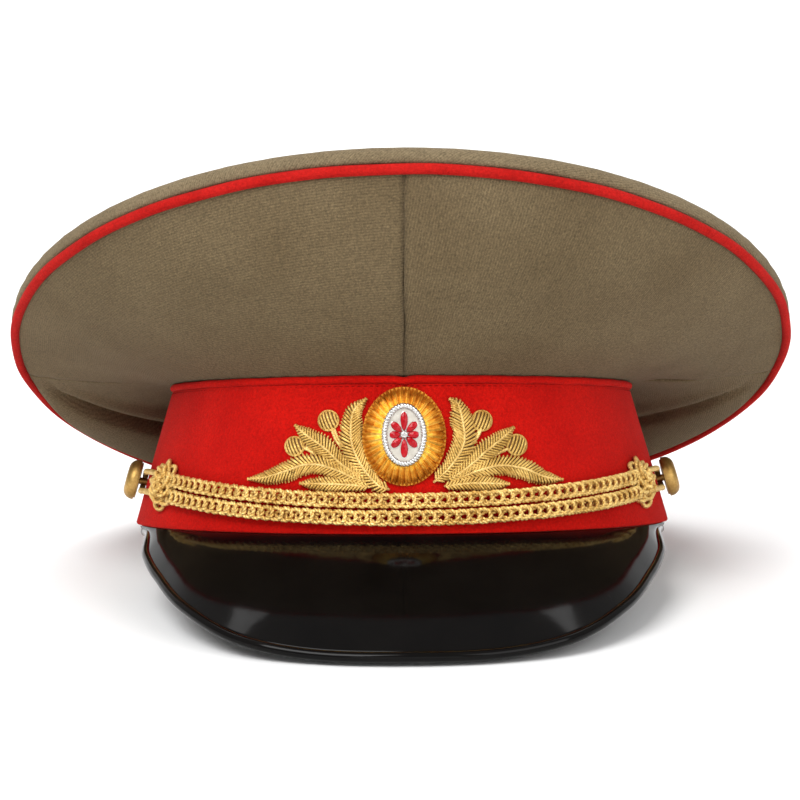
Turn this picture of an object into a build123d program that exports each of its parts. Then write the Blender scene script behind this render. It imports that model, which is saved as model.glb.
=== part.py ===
from build123d import *
import os
from math import sin, cos, tan, radians, degrees, atan, atan2, sqrt, hypot, pi

os.makedirs("parts", exist_ok=True)

# Peaked cap, millimetres.  Every piece is laid out in the worn attitude: the
# bottom edge of the band on z = 0, the front of the cap toward -Y.  REST then
# tips the finished pieces back until the cap stands on the front edge of its
# visor and on the low rear rim of its crown, the way it lies on a table.

# ------------------------------------------------------------- driving sizes
BAND_H = 48.0                      # height of the band, welt included
BAND_BOTTOM = (94.0, 104.0)        # outer half-width and half-length, bottom
BAND_TOP = (80.5, 98.0)            # the same at the top edge
COVER_H = 45.7                     # cloth cover, up to the welt
COVER_T = 1.8                      # felt cover thickness
STIFFENER_T = 1.2                  # card stiffener thickness
LAYER_GAP = 0.05                   # between sewn layers
SWEAT_INSET = 5.2                  # band face to back of the sweatband
SWEAT_T = 1.2
SWEAT_H = 38.0
WELT_R = 1.15                      # red welt along the band's top

RIM_A = 134.8                      # crown rim half-width
RIM_B = 142.4                      # crown rim half-length, along its slope
RIM_CENTRE = (0, -3.0, 54.5)       # middle of the rim ellipse
RIM_SLOPE = 20.98                  # the rim plane falls toward the rear, deg
CROWN_PIPING_R = 1.6
CLOTH_T = 1.4                      # quarters
PANEL_ROLL = 4.0                   # rolled edge of the top panel
PANEL_RISE = 8.0                   # height of the rolled edge above the piping
HOOP_R = 1.18                      # spring wire
HOOP_IN, HOOP_UP = 2.0, 5.64       # inside the rim, above its plane

VISOR_T = 2.0
VISOR_BEAD_R = 1.7
VISOR_ROOT = 3.0                   # flange tucked under the band
# azimuth from the front, radius and height of the visor's outer edge
VISOR_EDGE = [(0, 144.0, -32.0), (10.8, 143.6, -31.4), (20.1, 141.4, -28.0),
              (29.9, 132.6, -21.0), (40.5, 118.8, -14.0), (54.7, 105.0, -6.9),
              (68.3, 98.6, -2.4), (74.0, 98.0, -2.1)]
VISOR_SPAN = 69.0                  # half of the azimuth that the visor covers

COCKADE_Z = 29.5                   # height of the cockade's middle
COCKADE_A, COCKADE_B = 13.1, 15.55 # half-width and half-height of the sunburst
COCKADE_LIFT = 0.45                # stands this far off the band
RAYS = 40

BUTTON_AZ = 82.6                   # side buttons, azimuth from the front
BUTTON_Z = 14.0
BUTTON_R = 7.0
SHANK_R = 1.2
KNOT_AZ = 59.0                     # knots of the chin cord
CORD_R = 2.3                       # one strand
CORD_PITCH = 4.8                   # strand to strand
CORD_FRONT_Z = 7.1                 # middle of the pair at the front

# rest attitude
REST_TILT = -7.586
REST_LIFT = 15.30
REST_SHIFT = 7.4355                # centres the cap on the origin
REST = Location((0, REST_SHIFT, REST_LIFT), (REST_TILT, 0, 0))


# ------------------------------------------------------------------- helpers
def band_axes(z, inset=0.0):
    """Half-width and half-length of the band's ellipse at a height."""
    k = z / BAND_H
    return (BAND_BOTTOM[0] + (BAND_TOP[0] - BAND_BOTTOM[0]) * k - inset,
            BAND_BOTTOM[1] + (BAND_TOP[1] - BAND_BOTTOM[1]) * k - inset)


def band_radius(az, z, inset=0.0):
    a, b = band_axes(z, inset)
    s, c = sin(radians(az)), cos(radians(az))
    return 1.0 / sqrt((s / a) ** 2 + (c / b) ** 2)


def around(az, r, z):
    """Point at an azimuth from the front, positive toward +X."""
    return Vector(r * sin(radians(az)), -r * cos(radians(az)), z)


def radial_plane(az):
    """Upright plane through the head's axis: local x outward, local y up."""
    s, c = sin(radians(az)), cos(radians(az))
    return Plane(origin=(0, 0, 0), x_dir=(s, -c, 0), z_dir=(-c, -s, 0))


def band_plane(az, z, lift=0.0):
    """Plane tangent to the band: local z outward, local y up the band."""
    d = 0.01
    p = around(az, band_radius(az, z), z)
    u = around(az + d, band_radius(az + d, z), z) - p
    v = around(az, band_radius(az, z + d), z + d) - p
    n = u.cross(v).normalized()
    return Plane(origin=p + n * lift, x_dir=u.normalized(), z_dir=n)


def smooth_table(table, x):
    """Hermite interpolation in a table of (x, ...), mirrored about x = 0."""
    x = abs(x)
    rows = [(-table[1][0],) + tuple(table[1][1:])] + list(table)
    i = 1
    while i < len(rows) - 2 and x > rows[i + 1][0]:
        i += 1
    x0, x1 = rows[i][0], rows[i + 1][0]
    k = (x - x0) / (x1 - x0)
    out = []
    for j in range(1, len(rows[0])):
        def slope(n):
            lo, hi = max(n - 1, 0), min(n + 1, len(rows) - 1)
            return (rows[hi][j] - rows[lo][j]) / (rows[hi][0] - rows[lo][0])
        m0, m1, w = slope(i), slope(i + 1), x1 - x0
        out.append((2 * k ** 3 - 3 * k ** 2 + 1) * rows[i][j] + (k ** 3 - 2 * k ** 2 + k) * w * m0
                   + (3 * k ** 2 - 2 * k ** 3) * rows[i + 1][j] + (k ** 3 - k ** 2) * w * m1)
    return out


SL, CL = sin(radians(RIM_SLOPE)), cos(radians(RIM_SLOPE))
RIM_PLANE = Plane(origin=RIM_CENTRE, x_dir=(1, 0, 0), z_dir=(0, SL, CL))


def rim_point(az):
    """Radius and height of the crown rim at an azimuth."""
    lo, hi = 0.0, 180.0
    for _ in range(50):
        t = (lo + hi) / 2
        x = RIM_A * sin(radians(t))
        y = RIM_CENTRE[1] - RIM_B * CL * cos(radians(t))
        if degrees(atan2(x, -y)) < abs(az):
            lo = t
        else:
            hi = t
    t = radians((lo + hi) / 2)
    x, y = RIM_A * sin(t), RIM_CENTRE[1] - RIM_B * CL * cos(t)
    return hypot(x, y), RIM_CENTRE[2] + RIM_B * SL * cos(t)


def quarter_curve(az, depth=0.0, start=0.0, end=1.0, count=7):
    """Outer line of a crown quarter in its radial plane, shifted inward by
    depth, as (radius, height) points from the band's top to the rim."""
    c = cos(radians(az))
    a_out = radians(5 + 30 * c)
    a_in = radians(14 + 66.5 * c - 5.5 * c * c)
    r1, z1 = rim_point(az)
    p0 = (band_radius(az, BAND_H) + 0.2, BAND_H + 0.4)
    p3 = (r1 - 1.95 * cos(a_in), z1 - 1.95 * sin(a_in))
    reach = 0.36 * hypot(p3[0] - p0[0], p3[1] - p0[1])
    p1 = (p0[0] + reach * cos(a_out), p0[1] + reach * sin(a_out))
    p2 = (p3[0] - reach * cos(a_in), p3[1] - reach * sin(a_in))
    pts = []
    for i in range(count):
        k = start + (end - start) * i / (count - 1)
        q = 1 - k
        x = q ** 3 * p0[0] + 3 * q * q * k * p1[0] + 3 * q * k * k * p2[0] + k ** 3 * p3[0]
        z = q ** 3 * p0[1] + 3 * q * q * k * p1[1] + 3 * q * k * k * p2[1] + k ** 3 * p3[1]
        dx = 3 * q * q * (p1[0] - p0[0]) + 6 * q * k * (p2[0] - p1[0]) + 3 * k * k * (p3[0] - p2[0])
        dz = 3 * q * q * (p1[1] - p0[1]) + 6 * q * k * (p2[1] - p1[1]) + 3 * k * k * (p3[1] - p2[1])
        n = hypot(dx, dz)
        pts.append((x - depth * dz / n, z + depth * dx / n))
    return pts


def panel_height(u, v, drop=0.0):
    """Height of the domed top above the rim plane."""
    rho2 = (u / RIM_A) ** 2 + (v / RIM_B) ** 2
    return PANEL_RISE + (22.0 + 0.165 * v) * (1 - rho2 * rho2) - drop


def panel_face(drop, span=1.12, n=13):
    """The domed top as one surface over a rectangle of the rim plane."""
    rows = []
    for i in range(n):
        u = RIM_A * span * (2 * i / (n - 1) - 1)
        rows.append([RIM_PLANE.from_local_coords(Vector(u, v, panel_height(u, v, drop)))
                     for v in [RIM_B * span * (2 * j / (n - 1) - 1) for j in range(n)]])
    return Face.make_surface_from_array_of_points(rows, tol=0.02, min_deg=3, max_deg=6)


def band_ring(inset0, inset1, z0, z1):
    """Closed loop of the band between two insets and two heights."""
    with BuildPart() as ring:
        for z in (z0, z1):
            with BuildSketch(Plane.XY.offset(z)):
                Ellipse(*band_axes(z, inset0))
        loft(ruled=True)
        for z in (z0, z1):
            with BuildSketch(Plane.XY.offset(z)):
                Ellipse(*band_axes(z, inset1))
        loft(ruled=True, mode=Mode.SUBTRACT)
    return ring.part


# =================================================================== the band
BUTTON_PLANES = {"left": band_plane(-BUTTON_AZ, BUTTON_Z), "right": band_plane(BUTTON_AZ, BUTTON_Z)}
COCKADE_PLANE = band_plane(0, COCKADE_Z)
PRONG_X = 5.0

with BuildPart() as band_cover:
    add(band_ring(0, COVER_T, 0, COVER_H))
    for side in BUTTON_PLANES.values():
        with BuildSketch(side):
            Circle(SHANK_R + 0.25)
        extrude(amount=8, both=True, mode=Mode.SUBTRACT)
    with BuildSketch(COCKADE_PLANE):
        with Locations((-PRONG_X, 0), (PRONG_X, 0)):
            Rectangle(1.0, 3.4)
    extrude(amount=8, both=True, mode=Mode.SUBTRACT)
band_cover.part.label = "band_cover"
export_step(REST * band_cover.part, "parts/band_cover.step")

with BuildPart() as band_stiffener:
    inset = COVER_T + LAYER_GAP
    add(band_ring(inset, inset + STIFFENER_T, 0, BAND_H - 0.3))
    for side in BUTTON_PLANES.values():
        with BuildSketch(side):
            Circle(SHANK_R + 0.25)
        extrude(amount=8, both=True, mode=Mode.SUBTRACT)
    with BuildSketch(COCKADE_PLANE):
        with Locations((-PRONG_X, 0), (PRONG_X, 0)):
            Rectangle(1.0, 3.4)
    extrude(amount=8, both=True, mode=Mode.SUBTRACT)
band_stiffener.part.label = "band_stiffener"
export_step(REST * band_stiffener.part, "parts/band_stiffener.step")

# leather sweatband: a tall inner strip on a narrow sewn foot
with BuildPart() as sweatband:
    add(band_ring(SWEAT_INSET, SWEAT_INSET + SWEAT_T, 0, SWEAT_H))
    add(band_ring(COVER_T + STIFFENER_T + 0.2, SWEAT_INSET + 0.3, 0, 1.2))
sweatband.part.label = "sweatband"
export_step(REST * sweatband.part, "parts/sweatband.step")

# round welt on the top edge of the cover, a hair proud of it
with BuildPart() as band_piping:
    with BuildSketch(Plane.XZ):
        with Locations((BAND_TOP[1] - 0.2, COVER_H + WELT_R + 0.05)):
            Circle(WELT_R)
    revolve(axis=Axis.Z, revolution_arc=360)
    scale(by=((BAND_TOP[0] - 0.2) / (BAND_TOP[1] - 0.2), 1, 1))
    # the stiffener's upper edge stands inside the welt
    with BuildSketch(Plane.XY.offset(40)):
        Ellipse(*band_axes(BAND_H, COVER_T))
    extrude(amount=20, mode=Mode.SUBTRACT)
band_piping.part.label = "band_piping"
export_step(REST * band_piping.part, "parts/band_piping.step")

# ================================================================== the crown
# four cloth quarters, seamed at the front, the sides and the back
for name, az0, az1 in (("crown_quarter_front_right", 0.05, 89.95), ("crown_quarter_rear_right", 90.05, 179.95),
                       ("crown_quarter_rear_left", -179.95, -90.05), ("crown_quarter_front_left", -89.95, -0.05)):
    with BuildPart() as quarter:
        for i in range(10):
            az = az0 + (az1 - az0) * i / 9
            outer, inner = quarter_curve(az), quarter_curve(az, CLOTH_T)
            with BuildSketch(radial_plane(az)):
                with BuildLine():
                    Spline(*outer)
                    Line(outer[-1], inner[-1])
                    Spline(*inner[::-1])
                    Line(inner[0], outer[0])
                make_face()
        loft()
    quarter.part.label = name
    export_step(REST * quarter.part, "parts/" + name + ".step")

# piping in the seam between quarters and top panel
with BuildPart() as crown_piping:
    with BuildSketch(Plane.XZ):
        with Locations((RIM_B, 0)):
            Circle(CROWN_PIPING_R)
    revolve(axis=Axis.Z, revolution_arc=360)
    scale(by=(RIM_A / RIM_B, 1, 1))
crown_piping.part.label = "crown_piping"
crown_piping.part.locate(RIM_PLANE.location)
export_step(REST * crown_piping.part, "parts/crown_piping.step")

# spring-wire hoop that stretches the rim, its ends meeting in a ferrule
with BuildPart() as crown_hoop:
    with BuildSketch(Plane.XZ.rotated((0, 0, 91))):
        with Locations((RIM_B - HOOP_IN, HOOP_UP)):
            Circle(HOOP_R)
    revolve(axis=Axis.Z, revolution_arc=358)
    scale(by=(RIM_A / RIM_B, 1, 1))
crown_hoop.part.label = "crown_hoop"
crown_hoop.part.locate(RIM_PLANE.location)
export_step(REST * crown_hoop.part, "parts/crown_hoop.step")

with BuildPart() as hoop_ferrule:
    with BuildSketch(Plane.XZ.rotated((0, 0, 86))):
        with Locations((RIM_B - HOOP_IN, HOOP_UP)):
            Circle(HOOP_R + 0.32)
            Circle(HOOP_R + 0.05, mode=Mode.SUBTRACT)
    revolve(axis=Axis.Z, revolution_arc=8)
    scale(by=(RIM_A / RIM_B, 1, 1))
hoop_ferrule.part.label = "hoop_ferrule"
hoop_ferrule.part.locate(RIM_PLANE.location)
export_step(REST * hoop_ferrule.part, "parts/hoop_ferrule.step")

# domed top panel with a rolled edge, open underneath
with BuildPart() as crown_top_panel:
    with BuildSketch(RIM_PLANE.offset(CROWN_PIPING_R + 0.1)):
        Ellipse(RIM_A + 1.3, RIM_B + 1.3)
    extrude(amount=90)
    extrude(panel_face(0.0), amount=160, dir=(0, -SL, -CL), mode=Mode.INTERSECT)
    top_rim = crown_top_panel.edges().filter_by(lambda e: e.length > 300).sort_by(
        lambda e: RIM_PLANE.to_local_coords(e.center(CenterOf.BOUNDING_BOX)).Z)[-1]
    fillet(top_rim, radius=PANEL_ROLL)
with BuildPart() as panel_hollow:
    with BuildSketch(RIM_PLANE.offset(-5)):
        Ellipse(RIM_A - 0.4, RIM_B - 0.4)
    extrude(amount=90)
    extrude(panel_face(2.1), amount=160, dir=(0, -SL, -CL), mode=Mode.INTERSECT)
with crown_top_panel:
    add(panel_hollow.part, mode=Mode.SUBTRACT)
crown_top_panel.part.label = "crown_top_panel"
export_step(REST * crown_top_panel.part, "parts/crown_top_panel.step")

# sprung stay that holds the front up: a foot inside the band, then forward
with BuildPart() as front_stay:
    path_out = [(band_radius(0, z, 4.8), z) for z in (39.5, 43.0, 46.0)]
    path_out += quarter_curve(0, 2.7, 0.12, 0.90, 7)
    path_in = [(band_radius(0, z, 5.6), z) for z in (39.5, 43.0, 46.0)]
    path_in += quarter_curve(0, 3.5, 0.12, 0.90, 7)
    with BuildSketch(radial_plane(0)):
        with BuildLine():
            Spline(*path_out)
            Line(path_out[-1], path_in[-1])
            Spline(*path_in[::-1])
            Line(path_in[0], path_out[0])
        make_face()
    extrude(amount=11, both=True)
front_stay.part.label = "front_stay"
export_step(REST * front_stay.part, "parts/front_stay.step")

# satin lining, a soft well over the head
LINING_AXES = (74.8, 91.2)
with BuildPart() as crown_lining:
    with BuildSketch(Plane.XY.offset(SWEAT_H + 2)):
        Ellipse(*LINING_AXES)
    extrude(amount=90)
    extrude(panel_face(6.0), amount=160, dir=(0, -SL, -CL), mode=Mode.INTERSECT)
    roof = crown_lining.edges().filter_by(lambda e: e.length > 300).sort_by(Axis.Z)[-1]
    fillet(roof, radius=5)
with BuildPart() as lining_hollow:
    with BuildSketch(Plane.XY.offset(SWEAT_H)):
        Ellipse(LINING_AXES[0] - 1.0, LINING_AXES[1] - 1.0)
    extrude(amount=90)
    extrude(panel_face(7.6), amount=160, dir=(0, -SL, -CL), mode=Mode.INTERSECT)
with crown_lining:
    add(lining_hollow.part, mode=Mode.SUBTRACT)
crown_lining.part.label = "crown_lining"
export_step(REST * crown_lining.part, "parts/crown_lining.step")

# clear shield stitched under the lining's roof
with BuildPart() as lining_shield:
    with BuildSketch(RIM_PLANE):
        with BuildLine():
            Polyline((-46, -6), (0, -56), (46, -6), (0, 44), close=True)
        make_face()
        fillet(vertices(), radius=7)
    extrude(amount=60)
    extrude(panel_face(7.75), amount=160, dir=(0, -SL, -CL), mode=Mode.INTERSECT)
    extrude(panel_face(8.25), amount=160, dir=(0, -SL, -CL), mode=Mode.SUBTRACT)
lining_shield.part.label = "lining_shield"
export_step(REST * lining_shield.part, "parts/lining_shield.step")

# ================================================================== the visor
STATIONS = [VISOR_SPAN * k / 9 for k in range(-9, 10)]


def visor_section(az, drop, thick, trim, root):
    """Six corners of the visor's section: flange, sloping blade, edge."""
    r_edge, z_edge = smooth_table(VISOR_EDGE, az)
    r_band = band_radius(az, 0)
    top0 = (r_band - root, -0.1 - drop)
    top1 = (r_band + 0.2 - 0.35 * drop, -0.1 - drop)
    dr, dz = r_edge - top1[0], z_edge - top1[1] + drop * 0
    n = hypot(dr, dz)
    ux, uz = dr / n, dz / n
    # the blade stops short of its edge by the trim
    end = (r_edge - trim * ux, z_edge - trim * uz)
    end = (end[0] + uz * drop * 0.9, end[1] - ux * drop * 0.9 + 0.0)
    arch = 0.035 * n
    mid = ((top1[0] + end[0]) / 2 - uz * arch, (top1[1] + end[1]) / 2 + ux * arch)
    low0 = (top0[0], top0[1] - thick)
    low1 = (top1[0] - 0.30 * thick, top1[1] - thick)
    lend = (end[0] + uz * thick, end[1] - ux * thick)
    lmid = ((low1[0] + lend[0]) / 2 - uz * arch, (low1[1] + lend[1]) / 2 + ux * arch)
    return top0, top1, mid, end, lend, lmid, low1, low0


with BuildPart() as visor_shell:
    for az in STATIONS:
        p = visor_section(az, 0.0, VISOR_T, VISOR_BEAD_R + 0.6, VISOR_ROOT)
        with BuildSketch(radial_plane(az)):
            with BuildLine():
                Line(p[0], p[1])
                Spline(p[1], p[2], p[3])
                Line(p[3], p[4])
                Spline(p[4], p[5], p[6])
                Line(p[6], p[7])
                Line(p[7], p[0])
            make_face()
    loft()
visor_shell.part.label = "visor_shell"
export_step(REST * visor_shell.part, "parts/visor_shell.step")

with BuildPart() as visor_lining:
    for az in STATIONS[1:-1]:
        p = visor_section(az, VISOR_T + 0.15, 0.7, VISOR_BEAD_R + 1.2, VISOR_ROOT - 0.2)
        with BuildSketch(radial_plane(az)):
            with BuildLine():
                Line(p[0], p[1])
                Spline(p[1], p[2], p[3])
                Line(p[3], p[4])
                Spline(p[4], p[5], p[6])
                Line(p[6], p[7])
                Line(p[7], p[0])
            make_face()
    loft()
visor_lining.part.label = "visor_lining"
export_step(REST * visor_lining.part, "parts/visor_lining.step")

# rounded bead that binds the visor's outer edge
bead_points = []
for k in range(-14, 15):
    az = (VISOR_SPAN - 0.5) * k / 14
    r_edge, z_edge = smooth_table(VISOR_EDGE, az)
    dr, dz = r_edge - band_radius(az, 0), z_edge + 0.1
    n = hypot(dr, dz)
    bead_points.append(around(az, r_edge + dz / n * VISOR_T / 2, z_edge - dr / n * VISOR_T / 2))
bead_radii = []
for p, q, r in zip(bead_points, bead_points[1:], bead_points[2:]):
    turn = radians((q - p).get_angle(r - q))
    bead_radii.append(0.45 * min((q - p).length, (r - q).length) / tan(turn / 2))
print("visor_edge_bead radii", [round(v) for v in bead_radii])
with BuildPart() as visor_edge_bead:
    with BuildLine() as route:
        FilletPolyline(*bead_points, radius=bead_radii)
    with BuildSketch(Plane(origin=route.line @ 0, z_dir=route.line % 0)):
        Circle(VISOR_BEAD_R)
    sweep(path=route.wires()[0])
print("visor_edge_bead volume over section times length",
      round(visor_edge_bead.part.volume / (pi * VISOR_BEAD_R ** 2 * route.wires()[0].length), 4))
visor_edge_bead.part.label = "visor_edge_bead"
export_step(REST * visor_edge_bead.part, "parts/visor_edge_bead.step")

# ============================================================= the embroidery
# leaves as (midrib points, full width); x across the band, z up it
LEAVES_LEFT = [
    ([(-11.2, 41.0), (-15.2, 36.8), (-15.9, 30.0), (-15.0, 25.1), (-12.0, 19.3), (-8.0, 14.8), (-3.6, 12.8)], 6.9),
    ([(-33.0, 33.0), (-29.5, 30.0), (-23.6, 25.7), (-19.0, 21.2), (-12.0, 16.4)], 6.0),
    ([(-47.8, 16.4), (-42.0, 17.0), (-34.8, 19.2), (-30.1, 20.8), (-25.4, 20.8), (-20.5, 19.3), (-15.9, 16.9), (-11.4, 15.1)], 6.3),
    ([(-31.4, 14.3), (-23.6, 13.7), (-17.5, 13.5), (-11.4, 13.0)], 6.0),
]
LEAVES_RIGHT = [
    ([(13.7, 40.8), (16.3, 38.9), (17.5, 34.1), (18.1, 28.7), (16.9, 24.8), (13.6, 19.9), (8.8, 15.5)], 7.5),
    ([(33.4, 32.0), (29.4, 28.4), (24.4, 24.5), (19.1, 19.9), (12.8, 15.8)], 6.0),
    ([(48.7, 14.7), (42.6, 16.0), (36.0, 19.0), (29.2, 20.2), (22.5, 18.7), (15.8, 16.0)], 6.3),
    ([(31.6, 12.9), (25.7, 13.4), (19.1, 13.7), (12.8, 13.1)], 6.0),
]
BERRIES_LEFT = [((-22.9, 34.4), 3.0), ((-33.4, 26.6), 2.85)]
BERRIES_RIGHT = [((23.7, 34.1), 3.0), ((34.5, 26.6), 3.1)]
STEMS_LEFT = [((-21.4, 31.2), (-19.9, 26.4)), ((-30.2, 26.0), (-27.5, 24.2))]
STEMS_RIGHT = [((23.0, 31.2), (21.7, 28.2)), ((31.0, 24.8), (27.3, 23.0))]
THREAD_T = 1.15

thread_layer = band_ring(-THREAD_T, -0.06, 3, BAND_H - 4)
berry_layer = band_ring(-1.6, -0.06, 3, BAND_H - 4)


def leaf_sides(rib, width):
    """Left and right edges of a pointed leaf about its midrib."""
    seg = [0.0]
    for p, q in zip(rib, rib[1:]):
        seg.append(seg[-1] + hypot(q[0] - p[0], q[1] - p[1]))
    left, right = [], []
    for i, p in enumerate(rib):
        a, b = rib[max(i - 1, 0)], rib[min(i + 1, len(rib) - 1)]
        tx, tz = b[0] - a[0], b[1] - a[1]
        n = hypot(tx, tz)
        k = seg[i] / seg[-1]
        half = 0.5 * width * min(1.0, sin(pi * min(k * 1.05 + 0.02, 1) ** 0.85) ** 0.75 if 0 < k < 1 else 0.0)
        left.append((p[0] - tz / n * half, p[1] + tx / n * half))
        right.append((p[0] + tz / n * half, p[1] - tx / n * half))
    return left, right


for name, leaves, stems in (("embroidery_leaves_left", LEAVES_LEFT, STEMS_LEFT),
                            ("embroidery_leaves_right", LEAVES_RIGHT, STEMS_RIGHT)):
    with BuildPart() as sprig:
        with BuildSketch(Plane.XZ):
            for rib, width in leaves:
                left, right = leaf_sides(rib, width)
                with BuildLine():
                    Spline(*left)
                    Spline(*right)
                make_face()
            for p, q in stems:
                mid = ((p[0] + q[0]) / 2, (p[1] + q[1]) / 2)
                with Locations(Location((mid[0], mid[1], 0), (0, 0, degrees(atan2(q[1] - p[1], q[0] - p[0]))))):
                    Rectangle(hypot(q[0] - p[0], q[1] - p[1]), 1.6)
            with Locations((0, COCKADE_Z)):
                Ellipse(COCKADE_A + 0.3, COCKADE_B + 0.3, mode=Mode.SUBTRACT)
            for centre, r in BERRIES_LEFT + BERRIES_RIGHT:
                with Locations(centre):
                    Circle(r + 0.25, mode=Mode.SUBTRACT)
            # the sprigs end above the chin cord
            with BuildLine():
                Polyline((-60, 0), (60, 0), (60, 15.4), (47, 14.1), (31, 13.2), (20, 12.6),
                         (-20, 12.6), (-31, 13.2), (-47, 14.1), (-60, 15.4), close=True)
            make_face(mode=Mode.SUBTRACT)
        extrude(amount=125)
        add(thread_layer, mode=Mode.INTERSECT)
    sprig.part.label = name
    export_step(REST * sprig.part, "parts/" + name + ".step")

for name, berries in (("embroidery_berries_left", BERRIES_LEFT), ("embroidery_berries_right", BERRIES_RIGHT)):
    with BuildPart() as berry:
        with BuildSketch(Plane.XZ):
            for centre, r in berries:
                with Locations(centre):
                    Circle(r)
        extrude(amount=125)
        add(berry_layer, mode=Mode.INTERSECT)
    berry.part.label = name
    export_step(REST * berry.part, "parts/" + name + ".step")

# ================================================================ the cockade
BASE = COCKADE_PLANE.offset(COCKADE_LIFT)


def ray_outline(scale_outer, scale_inner, a, b):
    pts = []
    for i in range(2 * RAYS):
        k = scale_outer if i % 2 == 0 else scale_inner
        t = pi * i / RAYS
        pts.append((a * k * sin(t), b * k * cos(t)))
    return pts


with BuildPart() as cockade_sunburst:
    with BuildSketch(BASE):
        with BuildLine():
            Polyline(*ray_outline(1.0, 0.93, COCKADE_A, COCKADE_B), close=True)
        make_face()
    with BuildSketch(BASE.offset(1.0)):
        with BuildLine():
            Polyline(*ray_outline(0.965, 0.895, COCKADE_A, COCKADE_B), close=True)
        make_face()
    loft(ruled=True)
    with BuildSketch(BASE.offset(1.0)):
        with BuildLine():
            Polyline(*ray_outline(0.965, 0.895, COCKADE_A, COCKADE_B), close=True)
        make_face()
    with BuildSketch(BASE.offset(2.6)):
        with BuildLine():
            Polyline(*ray_outline(0.60, 0.56, COCKADE_A, COCKADE_B), close=True)
        make_face()
    loft(ruled=True)
cockade_sunburst.part.label = "cockade_sunburst"
export_step(REST * cockade_sunburst.part, "parts/cockade_sunburst.step")

RIM_OVAL = (5.95, 8.85)
with BuildPart() as cockade_oval_rim:
    with BuildSketch(BASE.offset(2.65)):
        Ellipse(RIM_OVAL[0] + 0.7, RIM_OVAL[1] + 0.7)
        Ellipse(RIM_OVAL[0] - 0.7, RIM_OVAL[1] - 0.7, mode=Mode.SUBTRACT)
    extrude(amount=1.3)
    fillet(cockade_oval_rim.edges().filter_by(lambda e: e.center(CenterOf.BOUNDING_BOX).Y < 0).group_by(
        lambda e: round(BASE.to_local_coords(e.center(CenterOf.BOUNDING_BOX)).Z, 2))[-1], radius=0.5)
cockade_oval_rim.part.label = "cockade_oval_rim"
export_step(REST * cockade_oval_rim.part, "parts/cockade_oval_rim.step")

with BuildPart() as cockade_field:
    with BuildSketch(BASE.offset(2.65)):
        Ellipse(RIM_OVAL[0] - 0.75, RIM_OVAL[1] - 0.75)
    extrude(amount=0.55)
cockade_field.part.label = "cockade_field"
export_step(REST * cockade_field.part, "parts/cockade_field.step")

# eight-petalled rosette, a silver blank below and enamel petals on it
with BuildPart() as cockade_rosette:
    with BuildSketch(BASE.offset(3.25)):
        with PolarLocations(2.35, 8):
            Ellipse(1.75, 1.05)
        Circle(1.6)
    extrude(amount=0.45)
cockade_rosette.part.label = "cockade_rosette"
export_step(REST * cockade_rosette.part, "parts/cockade_rosette.step")

with BuildPart() as cockade_petals:
    with BuildSketch(BASE.offset(3.72)):
        with PolarLocations(2.55, 8):
            Ellipse(1.25, 0.72)
    extrude(amount=0.35)
cockade_petals.part.label = "cockade_petals"
export_step(REST * cockade_petals.part, "parts/cockade_petals.step")

with BuildPart() as cockade_boss:
    with BuildSketch(BASE.offset(3.72)):
        Circle(1.2)
    extrude(amount=0.8)
    fillet(cockade_boss.faces().sort_by(lambda f: BASE.to_local_coords(f.center()).Z)[-1].edges(), radius=0.7)
cockade_boss.part.label = "cockade_boss"
export_step(REST * cockade_boss.part, "parts/cockade_boss.step")

# two flat prongs through the band, bent outward behind the stiffener
with BuildPart() as cockade_prongs:
    with BuildSketch(COCKADE_PLANE.offset(COCKADE_LIFT - 0.02)):
        with Locations((-PRONG_X, 0), (PRONG_X, 0)):
            Rectangle(0.6, 3.0)
    extrude(amount=-(COCKADE_LIFT - 0.02 + 4.3))
    with BuildSketch(COCKADE_PLANE.offset(-4.3)):
        with Locations((-PRONG_X - 1.7, 0), (PRONG_X + 1.7, 0)):
            Rectangle(4.0, 3.0)
    extrude(amount=0.5)
cockade_prongs.part.label = "cockade_prongs"
export_step(REST * cockade_prongs.part, "parts/cockade_prongs.step")

# ============================================================= the chin cord
def cord_height(az, z_guess=10.0):
    """The pair rises toward the sides, level with the table."""
    y = -band_radius(az, z_guess, -3) * cos(radians(az))
    return CORD_FRONT_Z + 0.125 * (y + 107.0)


CORD_SPAN = 54.5
CORD_STEPS = 12
for name, shift in (("cord_upper", CORD_PITCH / 2), ("cord_lower", -CORD_PITCH / 2)):
    pts = []
    for i in range(CORD_STEPS + 1):
        az = -CORD_SPAN + 2 * CORD_SPAN * i / CORD_STEPS
        z = cord_height(az) + shift
        pts.append(around(az, band_radius(az, z) + CORD_R + 0.30 + 0.45, z))
    radii = []
    for p, q, r in zip(pts, pts[1:], pts[2:]):
        turn = radians((q - p).get_angle(r - q))
        radii.append(0.45 * min((q - p).length, (r - q).length) / tan(turn / 2))
    print(name, "radii", [round(v) for v in radii])
    with BuildPart() as strand:
        with BuildLine() as route:
            FilletPolyline(*pts, radius=radii)
        with BuildSketch(Plane(origin=route.line @ 0, z_dir=route.line % 0)):
            Circle(CORD_R)
        sweep(path=route.wires()[0])
    print(name, "volume over section times length",
          round(strand.part.volume / (pi * CORD_R ** 2 * route.wires()[0].length), 4),
          "length", round(route.wires()[0].length, 1))
    strand.part.label = name
    export_step(REST * strand.part, "parts/" + name + ".step")

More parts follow.
